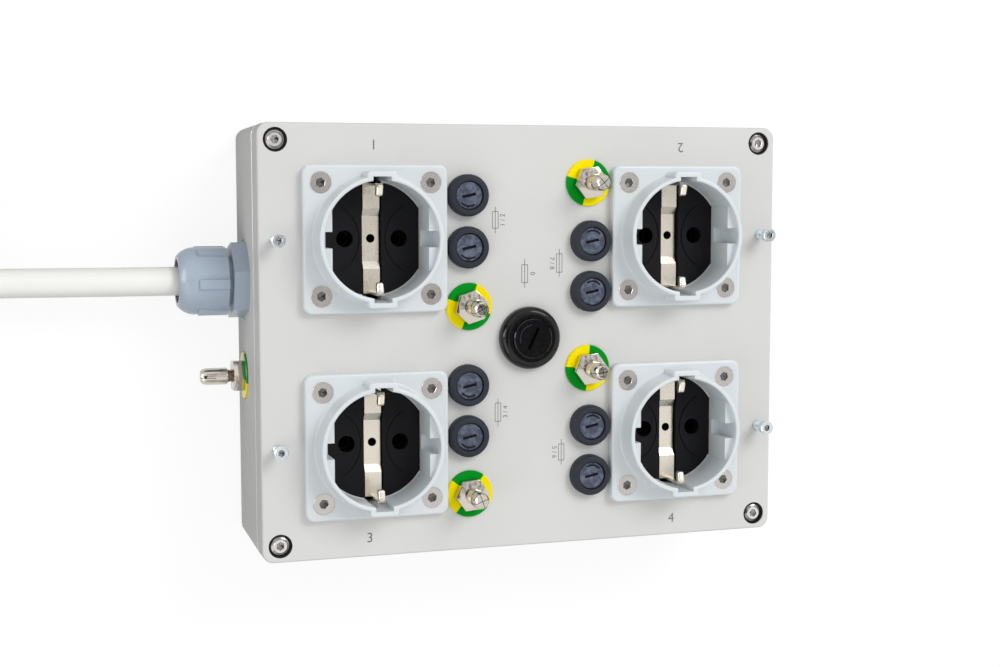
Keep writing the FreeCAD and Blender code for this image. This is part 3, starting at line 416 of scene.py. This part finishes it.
strip_metal = metal("nickel_strip", seen(248, 240, 224), 0.26, (1, 0.06, 1), 2600)
stainless = metal("stainless_screw", seen(218, 213, 208), 0.24, spread=0.25)
# Darker copies of the screw metal: painted shade for the walls of the hexagon sockets and the shoulders of
# the corner screws.
shade_painted_metal = metal("shade_painted_metal", seen(160, 157, 154), 0.2)
deeper_shade_painted_metal = metal("deeper_shade_painted_metal", seen(112, 110, 109), 0.22)
zinc = metal("bright_zinc", seen(222, 232, 236), 0.16, scale=700, depth=0.0002, wave=0.4)
bond_nickel = metal("pin_nickel", seen(230, 222, 210), 0.1, (0.35, 1.2, 0.35), 700, 0.35, 0.0001, 0.4)
# A darker, brownish copy of the pin's nickel for the neck: painted shade.
painted_neck_shade = metal("painted_neck_shade_nickel", seen(150, 134, 118), 0.2, (1, 1, 3), 900, 0.4)
# A brighter copy of the metal: painted highlight on the seam lip and on the tops of the corner screws.
highlight_painted_metal = metal("highlight_painted_metal", seen(232, 232, 229), 0.3)
# Brass, darkened well below its own colour as painted shade for the contacts deep in the pin holes.
shade_darkened_brass = metal("shade_darkened_brass", seen(62, 50, 32), 0.5)
plug_nickel = metal("plug_pin_nickel", seen(205, 200, 190), 0.2)
print("Materials in all:", len(bpy.data.materials))

# %% Give each solid its finish
EACH_SOCKET, EACH_FUSE = range(1, 5), range(1, 9)
FINISHES = {
    case_paint: ["base_box", "lid"],
    black_rubber: ["lid_gasket", "lid_screw_seals", "gland_seal", "coil_tie"],
    stainless: ["lid_screws", "socket_screws"],
    socket_plastic: ["socket_%d_shell" % i for i in EACH_SOCKET],
    insert_plastic: ["socket_%d_insert" % i for i in EACH_SOCKET],
    strip_metal: ["socket_%d_earth_strip" % i for i in EACH_SOCKET],
    zinc: ["stand_screw_%d" % i for i in EACH_SOCKET],
    shade_darkened_brass: ["socket_contacts", "fuse_tails"],
    fuse_holder_plastic: ["fuse_holders", "fuse_nuts"],
    fuse_cap_plastic: ["fuse_cap_%d" % i for i in EACH_FUSE],
    gloss_black: ["main_fuse_holder", "main_fuse_cap"],
    bond_nickel: ["bonding_pins", "locknuts"],
    green_insulation: ["earth_wires"],
    gland_plastic: ["gland_body", "gland_cap"],
    cable_sheath: ["cable_tail", "plug_body"],
    plug_nickel: ["plug_pins"],
    brown_insulation: ["supply_wires"],
}
for material, names in FINISHES.items():
    for name in names:
        for slot in nodes[name].material_slots:
            slot.material = material
line.materials.append(cable_sheath)
print("Finished", sum(len(names) for names in FINISHES.values()), "solid pieces")

# %% [markdown]
# ## The two-colour discs
#
# Under each bonding pin lies a plastic disc in the green and yellow of an earth conductor. It is moulded
# in four quarters, so each quarter is spun from the same small section and gets its own material. The
# discs aren't lined up with each other, because each was turned as its nut was tightened. The one on
# the wall is wiped clean more often, so it is glossier.

# %% Spin a section and place it
WELD = 0.002 * MM
PANEL_Z = 50


def piece(name, bm, materials, body="case", smooth_deg=35):
    """Turn a bmesh into an object that rides on a body."""
    bmesh.ops.remove_doubles(bm, verts=bm.verts, dist=WELD)
    bmesh.ops.recalc_face_normals(bm, faces=bm.faces)
    mesh = bpy.data.meshes.new(name)
    bm.to_mesh(mesh)
    bm.free()
    for material in materials:
        mesh.materials.append(material)
    mesh.shade_smooth()
    mesh.set_sharp_from_angle(angle=radians(smooth_deg))
    made = bpy.data.objects.new(name, mesh)
    scene.collection.objects.link(made)
    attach(made, body)
    return made


def swept(bm, section, start_deg, sweep_deg, steps, place, index=0):
    """Spin a closed (radius, height) section in millimetres about the Z axis of a place."""
    before = set(bm.verts)
    turn = Matrix.Rotation(radians(start_deg), 4, "Z")
    verts = [bm.verts.new(turn @ Vector((r, 0, z)) * MM) for r, z in section]
    rim = [bm.edges.new((v, verts[i - 1])) for i, v in enumerate(verts)]
    whole = sweep_deg == 360
    face = [] if whole else [bm.faces.new(verts)]
    bmesh.ops.spin(bm, geom=verts + rim + face, cent=(0, 0, 0), axis=(0, 0, 1),
                   angle=radians(sweep_deg), steps=steps, use_merge=whole)
    fresh = [v for v in bm.verts if v not in before]
    for f in {f for v in fresh for f in v.link_faces}:
        f.material_index = index
    bmesh.ops.transform(bm, matrix=place, verts=fresh)


def turned(bm, section, place, steps=48, index=0):
    """Spin a section all the way round."""
    swept(bm, section, 0, 360, steps, place, index)


def band(inner, outer, low, top):
    """A rectangular section between two radii and two heights."""
    return [(inner, low), (outer, low), (outer, top), (inner, top)]


def at(x, y, z, turn_deg=0):
    """A place in millimetres, turned about the upright."""
    return Matrix.Translation(Vector((x, y, z)) * MM) @ Matrix.Rotation(radians(turn_deg), 4, "Z")


def on_panel(x, y, turn_deg=0):
    return at(x, y, PANEL_Z, turn_deg)


print("Sections can be spun and placed")

# %% Place five discs
OUT_OF_THE_WALL = Matrix(((0, 0, -1, 0), (0, 1, 0, 0), (1, 0, 0, 0), (0, 0, 0, 1)))
ON_SIDE = at(WALL_X, -13.7, 15.5) @ OUT_OF_THE_WALL
PIN_X, PIN_Y = 22.004, (11.495, -54.245)
PIN_PLACES = [on_panel(-PIN_X, y) for y in PIN_Y] + [on_panel(PIN_X, -y) for y in PIN_Y] + [ON_SIDE]
GREEN_FROM = (70, 52, -5, -16, -15)
DISC_SECTION = [(3.2, 0), (8.2, 0), (8.2, 0.75), (7.95, 1.0), (3.2, 1.0)]
bm = bmesh.new()
for place, first in zip(PIN_PLACES, GREEN_FROM):
    finish_pair = 2 if place is ON_SIDE else 0
    for quarter in range(4):
        swept(bm, DISC_SECTION, first + 90 * quarter, 90, 16, place, finish_pair + quarter % 2)
discs = piece("earth_discs", bm, [disc_green, disc_yellow, wiped_green, wiped_yellow])
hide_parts("bonding_discs")
print("Discs:", len(discs.data.polygons), "faces")

# %% [markdown]
# ## The lip at the seam
#
# The base is cast a hair wider than the lid, so a lip of less than a tenth of a millimetre runs round the
# case under the lid. It is made of a brighter metal than the case, a painted highlight, so that it shows as
# one fine light line. Scaling a ring would widen its corners too much, so each ring is drawn out of the one
# before, and its vertices move square to the outline. The last ring lies on the first, where the two are
# merged.

# %% Draw out the rings of the lip
CASE_X, CASE_Y, CORNER_R = 95.0, 74.2, 4.0
LIP = [(-0.4, 39.97), (0.05, 39.97), (0.08, 39.94), (0.08, 39.7), (-0.02, 39.4), (-0.4, 39.4)]


def verts_in(geom):
    return [g for g in geom if isinstance(g, bmesh.types.BMVert)]


def edges_in(geom):
    return [g for g in geom if isinstance(g, bmesh.types.BMEdge)]


def square_to_outline(vert, outset, z):
    """Move a vertex to that far outside the case's rounded outline, at a height."""
    middle = Vector((copysign(CASE_X - CORNER_R, vert.co.x), copysign(CASE_Y - CORNER_R, vert.co.y))) * MM
    out = (vert.co.xy - middle).normalized() * (CORNER_R + outset) * MM
    vert.co = (*(middle + out), z * MM)


bm = bmesh.new()
bmesh.ops.create_grid(bm, x_segments=1, y_segments=1, size=MM)
bmesh.ops.scale(bm, vec=(CASE_X, CASE_Y, 1), verts=bm.verts)
bmesh.ops.bevel(bm, geom=bm.verts[:], offset=CORNER_R * MM, segments=6, affect="VERTICES", profile=0.5,
                material=-1)
bmesh.ops.delete(bm, geom=bm.faces[:], context="FACES_ONLY")
for vert in bm.verts:
    square_to_outline(vert, *LIP[0])
rim = bm.edges[:]
for outset, z in LIP[1:] + LIP[:1]:
    drawn = bmesh.ops.extrude_edge_only(bm, edges=rim)["geom"]
    fresh = verts_in(drawn)
    rim = [e for e in edges_in(drawn) if all(v in fresh for v in e.verts)]
    for vert in fresh:
        square_to_outline(vert, outset, z)
seam_lip = piece("seam_lip", bm, [highlight_painted_metal])
print("Lip:", len(seam_lip.data.polygons), "faces")

# %% [markdown]
# ## The bonding pins
#
# Each pin is turned from one bar: a hexagon for the spanner, a narrow neck for the lead's catch and a
# round pin that is sawn crosswise, so that it springs in its socket. The lower part is a hexagon and a
# spun section. The four prongs are one quarter of a spun tip, cut at two planes and turned three times.

# %% Saw the pin
PIN_R, PIN_TOP = 3.0, 15.9
SLIT, SLIT_END = 0.2, 10.8
TIP = [(2.95, 13.6), (2.8, 14.6), (2.5, 15.4), (1.9, PIN_TOP)]


def everything(bm):
    return [*bm.verts, *bm.edges, *bm.faces]


prongs = bmesh.new()
turned(prongs, [(0, SLIT_END), (PIN_R, SLIT_END), *TIP, (0, PIN_TOP)], Matrix())
bmesh.ops.remove_doubles(prongs, verts=prongs.verts, dist=WELD)
for side in (Vector((1, 0, 0)), Vector((0, 1, 0))):
    cut = bmesh.ops.bisect_plane(prongs, geom=everything(prongs), plane_co=side * SLIT / 2 * MM,
                                 plane_no=side, clear_inner=True)
    bmesh.ops.edgeloop_fill(prongs, edges=edges_in(cut["geom_cut"]))
quarter = everything(prongs)
for k in (1, 2, 3):
    twin = bmesh.ops.duplicate(prongs, geom=quarter)["geom"]
    bmesh.ops.rotate(prongs, cent=(0, 0, 0), matrix=Matrix.Rotation(k * pi / 2, 3, "Z"), verts=verts_in(twin))
print("Prongs:", len(prongs.faces), "faces")

# %% Add the hexagon and the neck
HEX_ACROSS, HEX_H, HEX_BEVEL = 10.5, 3.7, 0.22
DISC_T = 1.0
NECK_LOW, NECK_TOP = 4.6, 6.6
GROOVE = [(2.3, 5.0), (2.05, 5.15), (2.05, 5.8), (2.3, 5.95)]
NECK = [(0, NECK_LOW), (2.3, NECK_LOW), *GROOVE, (2.3, NECK_TOP), (0, NECK_TOP)]
SHANK = [(0, NECK_TOP), (2.75, NECK_TOP), (PIN_R, 6.85), (PIN_R, SLIT_END), (0, SLIT_END)]
hexagon = bmesh.new()
bmesh.ops.create_circle(hexagon, cap_ends=True, segments=6, radius=HEX_ACROSS / sqrt(3) * MM,
                        matrix=at(0, 0, DISC_T))
raised = bmesh.ops.extrude_face_region(hexagon, geom=hexagon.faces[:])["geom"]
bmesh.ops.translate(hexagon, vec=(0, 0, HEX_H * MM), verts=verts_in(raised))
bmesh.ops.bevel(hexagon, geom=hexagon.edges[:], offset=HEX_BEVEL * MM, segments=2, affect="EDGES",
                profile=0.5, material=-1)
# The neck takes material 1, the darker copy of the nickel: painted shade.
turned(hexagon, NECK, Matrix(), index=1)
turned(hexagon, SHANK, Matrix())
print("Hexagon, neck and shank:", len(hexagon.faces), "faces")

# %% Place the five pins
HEX_TURNS = (48, 35, 37, 38, 33)
SLIT_TURNS = (30, 20, 10, 40, -8)


def stamp(bm, source, place):
    """Add a copy of one bmesh to another, at a place."""
    mesh = bpy.data.meshes.new("stamp")
    source.to_mesh(mesh)
    mesh.transform(place)
    bm.from_mesh(mesh)
    bpy.data.meshes.remove(mesh)


bm = bmesh.new()
for place, hex_deg, slit_deg in zip(PIN_PLACES, HEX_TURNS, SLIT_TURNS):
    stamp(bm, hexagon, place @ Matrix.Rotation(radians(hex_deg), 4, "Z"))
    stamp(bm, prongs, place @ Matrix.Rotation(radians(slit_deg), 4, "Z"))
pins = piece("sawn_pins", bm, [bond_nickel, painted_neck_shade])
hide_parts("bonding_pins")
print("Pins:", len(pins.data.polygons), "faces")

# %% [markdown]
# ## Socket screws
#
# Three kinds of screw with a hexagon socket hold the box: countersunk ones in the socket flanges, round
# heads with a seal ring in the corners, and small zinc ones that stand out of the panel. What makes a
# screw read as one is the bright chamfer at its rim and the dark socket, so the head is filled between a
# circle and a hexagon, and both rims are drawn out ring by ring. The socket's walls get a darker copy of
# the screw's metal, which is painted shade.

# %% Draw a head


def next_ring(bm, edges, grow, fall):
    """Extrude a ring of edges, scale it about the Z axis and let it fall."""
    drawn = bmesh.ops.extrude_edge_only(bm, edges=edges)["geom"]
    fresh = verts_in(drawn)
    bmesh.ops.scale(bm, vec=(grow, grow, 1), verts=fresh)
    bmesh.ops.translate(bm, vec=(0, 0, -fall * MM), verts=fresh)
    return [e for e in edges_in(drawn) if all(v in fresh for v in e.verts)]


SOCKET_EDGE, DRILL_POINT = 0.12, 0.4


def socket_screw(radius, across, depth, chamfer, rings):
    """A screw with its top at height zero; rings of (radius, fall) go on below the chamfered rim."""
    bm = bmesh.new()
    rim_r, socket_r = radius - chamfer, across / sqrt(3)
    bmesh.ops.create_circle(bm, segments=48, radius=rim_r * MM)
    rim = bm.edges[:]
    bmesh.ops.create_circle(bm, segments=6, radius=(socket_r + SOCKET_EDGE) * MM)
    socket = [e for e in bm.edges if e not in rim]
    bmesh.ops.triangle_fill(bm, edges=bm.edges[:], use_beauty=True)
    socket = next_ring(bm, socket, socket_r / (socket_r + SOCKET_EDGE), SOCKET_EDGE)
    before = set(bm.faces)
    socket = next_ring(bm, socket, 1, depth)
    # The socket's walls take material 1, a darker copy of the metal: painted shade.
    for face in set(bm.faces) - before:
        face.material_index = 1
    next_ring(bm, socket, 0.01, DRILL_POINT)
    last = rim_r
    for ring_r, fall in [(radius, chamfer), *rings]:
        rim = next_ring(bm, rim, ring_r / last, fall)
        last = ring_r
    bmesh.ops.edgeloop_fill(bm, edges=rim)
    return bm


def at_each(source, places, tilt_step):
    """Copies of a screw at several places, each turned a little further than the last."""
    bm = bmesh.new()
    for k, place in enumerate(places):
        stamp(bm, source, at(*place, tilt_step * k))
    return bm


print("Heads can be drawn")

# %% Screw down the sockets and the lid
SOCKET_X, SOCKET_Y, SOCKET_PITCH = 55.404, 35.245, 38
SOCKETS = [(i * SOCKET_X, j * SOCKET_Y) for j in (1, -1) for i in (-1, 1)]
SIGNS = [(-1, -1), (1, -1), (-1, 1), (1, 1)]
flat_head = socket_screw(radius=3.72, across=2.8, depth=0.7, chamfer=0.2, rings=[(2.0, 1.6), (2.0, 7.2)])
half = SOCKET_PITCH / 2
places = [(x + half * i, y + half * j, PANEL_Z + 3.48) for x, y in SOCKETS for i, j in SIGNS]
made = piece("flange_screws", at_each(flat_head, places, 25), [stainless, deeper_shade_painted_metal], smooth_deg=25)
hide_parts("socket_screws")

LID_SCREW_X, LID_SCREW_Y, BRIGHT_R = 88.8, 68.5, 2.3
round_head = socket_screw(radius=2.5, across=2.5, depth=1.0, chamfer=0.25,
                          rings=[(3.2, 0.3), (3.4, 0.3), (3.4, 3.2), (2.0, 0), (2.0, 18)])
# Faces near the middle of the head keep the bright copy of the metal, a painted highlight; the shoulder
# further out, down in its counterbore, takes the dark copy, painted shade.
for face in round_head.faces:
    if face.calc_center_median().xy.length > BRIGHT_R * MM:
        face.material_index = 1
places = [(LID_SCREW_X * i, LID_SCREW_Y * j, PANEL_Z - 0.2) for i, j in SIGNS]
made = piece("corner_screws", at_each(round_head, places, 17), [highlight_painted_metal, shade_painted_metal], smooth_deg=25)
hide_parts("lid_screws")
print("Screws in flanges and corners:", len(SOCKETS) * len(SIGNS) + len(SIGNS))

# %% Cut a thread on the standing screws
STAND_X, STAND_TOP = 89.5, PANEL_Z + 8.7
THREAD_TURNS, HALF_PITCH = 26, 0.25
thread = [(r, HALF_PITCH) for _ in range(THREAD_TURNS) for r in (1.5, 1.3)]
standing = socket_screw(radius=2.4, across=2.0, depth=1.2, chamfer=0.3,
                        rings=[(2.4, 2.2), (1.5, 0), (1.5, 0.6), *thread])
stands = [(i * STAND_X, j * SOCKET_Y, STAND_TOP) for i in (-1, 1) for j in (1, -1)]
for number, place in enumerate(stands, 1):
    made = piece("standing_screw_%d" % number, at_each(standing, [place], 0), [zinc, shade_painted_metal],
                 "stand_screw_%d" % number, smooth_deg=25)
    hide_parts("stand_screw_%d" % number)
print("Standing screws:", len(stands))

# %% [markdown]
# ## Marks on the fuse caps
#
# Every small fuse cap has a short curved mark beside its slot and a pointer at its rim, which show how
# far it has been turned, a dark plate low in the slot, which is painted shade, and a dark ring round the cap,
# which is the painted shadow of the gap between the cap and its holder. The main cap has one long raised arc.
# They ride on the caps, so they turn and pull out with them.

# %% Curve the marks
FUSE_X, FUSE_Y = 22.704, (49.895, 31.995, -15.895, -33.745)
FUSES = [(-FUSE_X, y, 0) for y in FUSE_Y] + [(FUSE_X, -y, 180) for y in FUSE_Y]
CAP_TOP, MAIN_CAP_TOP = 3.3, 5.2
MARK_R, GAP_SHADOW_R = (3.4, 4.0), (4.6, 4.93)
MARK_DEG, MARK_SWEEP = 220, 82
MAIN_MARK_DEG, MAIN_MARK_SWEEP = 96, 101
SLOT_SIZE, SLOT_DEG = (4.9, 0.9, 0.4), 12
TICK, TICK_DEG = ((4.05, 0.35, 0), (4.05, -0.35, 0), (4.6, 0, 0)), 262
for number, (x, y, turn) in enumerate(FUSES, 1):
    bm = bmesh.new()
    place = on_panel(x, y, turn)
    low, top = CAP_TOP - 0.1, CAP_TOP + 0.03
    swept(bm, band(*MARK_R, low, top), MARK_DEG, MARK_SWEEP, 18, place)
    # A dark ring round the cap: the painted shadow of the gap between cap and holder.
    turned(bm, band(*GAP_SHADOW_R, low, top), place)
    # A dark plate low in the slot: painted shade.
    slot_shade_plate = at(0, 0, CAP_TOP - 0.9, SLOT_DEG) @ Matrix.Diagonal((*SLOT_SIZE, 1))
    bmesh.ops.create_cube(bm, size=MM, matrix=place @ slot_shade_plate)
    tick = [bm.verts.new(place @ at(0, 0, top, TICK_DEG) @ (Vector(p) * MM)) for p in TICK]
    bmesh.ops.extrude_face_region(bm, geom=[bm.faces.new(tick)])
    piece("fuse_mark_%d" % number, bm, [mark_and_shade_ink], "fuse_cap_%d" % number)

bm = bmesh.new()
low, top = MAIN_CAP_TOP - 0.1, MAIN_CAP_TOP + 0.12
swept(bm, [(4.7, low), (5.0, low), (4.95, top), (4.75, top)], MAIN_MARK_DEG, MAIN_MARK_SWEEP, 24,
      on_panel(0, 0))
piece("main_fuse_mark", bm, [fuse_holder_plastic], "main_fuse_cap")
print("Marks on", len(FUSES) + 1, "caps")

# %% [markdown]
# ## Print on the panel
#
# The panel carries a fuse symbol beside each pair of fuses and beside the main fuse: a narrow upright
# rectangle with a line through it. Plain numerals count the sockets and the fuses. The top pair of
# socket numerals stands on its head, because the box is used from both sides.

# %% Draw strokes and figures
INK = 0.02
FIGURE_TO_FONT = 0.7


def bar(bm, x0, x1, y0, y1):
    """A printed stroke, a thin raised film on the panel."""
    size = Matrix.Diagonal((x1 - x0, y1 - y0, INK, 1))
    middle = Matrix.Translation(((x0 + x1) / 2, (y0 + y1) / 2, PANEL_Z + INK / 2))
    bmesh.ops.create_cube(bm, size=1, matrix=Matrix.Scale(MM, 4) @ middle @ size)


def symbol(bm, x0, x1, y0, y1, line0, line1, stroke=0.22):
    """A fuse symbol: the rectangle's four sides and the line through it."""
    half = stroke / 2
    mid = (x0 + x1) / 2
    for x in (x0, x1):
        bar(bm, x - half, x + half, y0, y1)
    for y in (y0, y1):
        bar(bm, x0, x1, y - half, y + half)
    bar(bm, mid - half, mid + half, line0, line1)


def numeral(bm, text, x, y, height, turn_deg):
    """A line of figures, made a mesh before it is put in its place."""
    words = bpy.data.curves.new("figures", "FONT")
    words.body = text
    words.size = height / FIGURE_TO_FONT * MM
    words.align_x = "CENTER"
    words.align_y = "CENTER"
    words.extrude = INK / 2 * MM
    words.resolution_u = 4
    held = bpy.data.objects.new("figures", words)
    mesh = bpy.data.meshes.new_from_object(held)
    mesh.transform(Matrix.Translation((0, 0, INK / 2 * MM)))
    mesh.transform(on_panel(x, y, turn_deg))
    bm.from_mesh(mesh)
    bpy.data.objects.remove(held)
    bpy.data.meshes.remove(mesh)


print("Strokes, symbols and figures can be drawn")

# %% Print the panel
SYMBOLS = ((-13.35, -11.24, 38.49, 44.32, 36.7, 45.95), (10.35, 12.43, 22.78, 29.27, 21.24, 31.05))
MAIN_SYMBOL = (-2.6, -0.41, 19.38, 25.59, 17.61, 27.64)
TALL, SMALL = 3.4, 1.7
FIGURES = (
    ("1", -55.4, 67.2, TALL, 180), ("2", 57.7, 67.0, TALL, 180), ("3", -57.8, -67.7, TALL, 0),
    ("4", 55.3, -68.2, TALL, 0), ("1 / 2", -9.6, 41.3, SMALL, 90), ("7 / 8", 8.6, 26.0, SMALL, -90),
    ("3 / 4", -8.6, -26.0, SMALL, 90), ("5 / 6", 9.6, -41.3, SMALL, -90), ("0", 1.6, 22.5, SMALL, 90))
bm = bmesh.new()
for x0, x1, y0, y1, line0, line1 in SYMBOLS:
    symbol(bm, x0, x1, y0, y1, line0, line1)
    symbol(bm, -x1, -x0, -y1, -y0, -line1, -line0)
symbol(bm, *MAIN_SYMBOL)
for figure in FIGURES:
    numeral(bm, *figure)
printed = piece("panel_print", bm, [panel_ink], smooth_deg=20)
print("Print:", len(printed.data.polygons), "faces")

# %% [markdown]
# ## Fuses
#
# Behind each cap sits a glass cartridge: a clear tube with a plated ferrule on each end and a thin wire
# between them. It comes out together with its cap. Each shape is turned from a section, and the three
# materials keep the glass apart from the metal.

# %% Turn the fuses
clear_glass, shader, place = finish("clear_glass", (0.92, 0.97, 0.96), 0.06, Alpha=0.28)
(0.04 + 0.06 * place.noise(300, 2)).into(shader, "Roughness")
FUSE_TOP = -2.0
FERRULE_T, FERRULE_END = 0.25, 0.5
GLASS_T, WIRE_R = 0.6, 0.18


def fuse(name, x, y, radius, length, ferrule):
    """A cartridge hanging under its cap: the glass, the two ferrules and the wire."""
    bm = bmesh.new()
    place = on_panel(x, y)
    top, end = FUSE_TOP, FUSE_TOP - length
    tube = radius - FERRULE_T
    turned(bm, band(tube - GLASS_T, tube, end + 0.4, top - 0.4), place, 28, 0)
    for outer, inner in ((top, top - ferrule), (end, end + ferrule)):
        rim = outer + copysign(FERRULE_END, inner - outer)
        turned(bm, [(0, outer), (radius - FERRULE_END, outer), (radius, rim), (radius, inner),
                    (tube + 0.02, inner), (tube + 0.02, rim), (0, rim)], place, 28, 1)
    turned(bm, band(0, WIRE_R, end + ferrule / 2, top - ferrule / 2), place, 8, 2)
    made = piece(name, bm, [clear_glass, plug_nickel, zinc], name.replace("cartridge", "link"))
    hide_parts(name.replace("cartridge", "link"))


for number, (x, y, _) in enumerate(FUSES, 1):
    fuse("fuse_cartridge_%d" % number, x, y, radius=2.6, length=20.0, ferrule=5.0)
fuse("main_fuse_cartridge", 0, 0, radius=3.15, length=25.4, ferrule=6.0)
print("Fuses made:", len(FUSES) + 1)

# %% [markdown]
# ## Fine lines on the socket inserts
#
# The mould left low ridges on each black insert: one beside each of the two grooves that the solid model
# has, and on the two left ones a plain ring beside a pin hole. They are a twentieth of a millimetre high
# and only show where light grazes them, but without them the black looks empty.

# %% Raise the ridges
RIDGE = [(-0.1, -0.05), (0.1, -0.05), (0.06, 0.05), (-0.06, 0.05)]
INSERT_FACE = 46.2


def ridge(bm, radius, start_deg, sweep_deg, x, y):
    """A low ridge along an arc on an insert's face."""
    section = [(radius + r, z) for r, z in RIDGE]
    swept(bm, section, start_deg, sweep_deg, max(8, round(abs(sweep_deg) / 5)), at(x, y, INSERT_FACE))


ARC_R, LEFT_ARC_X, RIGHT_ARC_X = 13, -19.05, 15.55
RING_R, RINGS = 2.8, ((-67.0, 28.3), (-67.0, -41.7))
bm = bmesh.new()
for x, y in SOCKETS:
    ridge(bm, ARC_R, -56, 112, x + LEFT_ARC_X, y)
    for start in (180 + 26, 180 - 56):
        ridge(bm, ARC_R, start, 30, x + RIGHT_ARC_X, y)
for x, y in RINGS:
    ridge(bm, RING_R, 0, 360, x, y)
ridges = piece("insert_ridges", bm, [insert_plastic])
print("Ridges:", len(ridges.data.polygons), "faces")

# %% [markdown]
# ## The step round each well
#
# Where an insert is pressed into its shell, a step a quarter of a millimetre wide is left at the foot of
# the well. Its flat top takes more light than the wall above it and draws a fine bright line round the
# black. It runs in four arcs, from each guide block to the nearest clip slot.

# %% Sweep the steps
STEP_SECTION = [(19.42, -0.05), (19.75, -0.05), (19.75, 0.22), (19.5, 0.22), (19.42, 0.14)]
ARC_STARTS, ARC_SWEEP = (33, 100, 213, 280), 47
bm = bmesh.new()
for x, y in SOCKETS:
    for start in ARC_STARTS:
        swept(bm, STEP_SECTION, start, ARC_SWEEP, 16, at(x, y, INSERT_FACE))
steps = piece("well_steps", bm, [socket_plastic])
print("Steps:", len(steps.data.polygons), "faces")

# %% [markdown]
# ## The strap round the coil
#
# A woven strap keeps the coil together. Its path is a rounded rectangle round the bundle of turns, drawn
# out to the strap's width and given a thickness, with the loose end lying on top as a second layer.

# %% Wrap the strap
STRAP_W, STRAP_T, STRAP_DEG = 12.0, 1.0, 60
BUNDLE, BUNDLE_R = (39, 71, 0, 21), 4
FLAP_U, FLAP_Z = (46, 50, 54, 58, 62), 21.9


def rounded_box(u0, u1, z0, z1, r, steps=5):
    """Points round a rectangle with rounded corners."""
    corners = ((u1 - r, z1 - r, 0), (u0 + r, z1 - r, 90), (u0 + r, z0 + r, 180), (u1 - r, z0 + r, 270))
    return [(u + r * cos(radians(a + 90 * k / steps)), z + r * sin(radians(a + 90 * k / steps)))
            for u, z, a in corners for k in range(steps + 1)]


bm = bmesh.new()
verts = [bm.verts.new(Vector((u, -STRAP_W / 2, z)) * MM) for u, z in rounded_box(*BUNDLE, BUNDLE_R)]
loop = [bm.edges.new((v, verts[i - 1])) for i, v in enumerate(verts)]
flap = [bm.verts.new(Vector((u, -STRAP_W / 2, FLAP_Z)) * MM) for u in FLAP_U]
loop += [bm.edges.new(pair) for pair in zip(flap, flap[1:])]
drawn = bmesh.ops.extrude_edge_only(bm, edges=loop)["geom"]
bmesh.ops.translate(bm, vec=(0, STRAP_W * MM, 0), verts=verts_in(drawn))
bmesh.ops.recalc_face_normals(bm, faces=bm.faces)
bmesh.ops.solidify(bm, geom=bm.faces[:], thickness=STRAP_T * MM)
bmesh.ops.transform(bm, matrix=at(COIL.x, COIL.y, 0, STRAP_DEG), verts=bm.verts)
strap = piece("woven_strap", bm, [strap_weave])
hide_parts("coil_tie")
print("Strap:", len(strap.data.polygons), "faces")
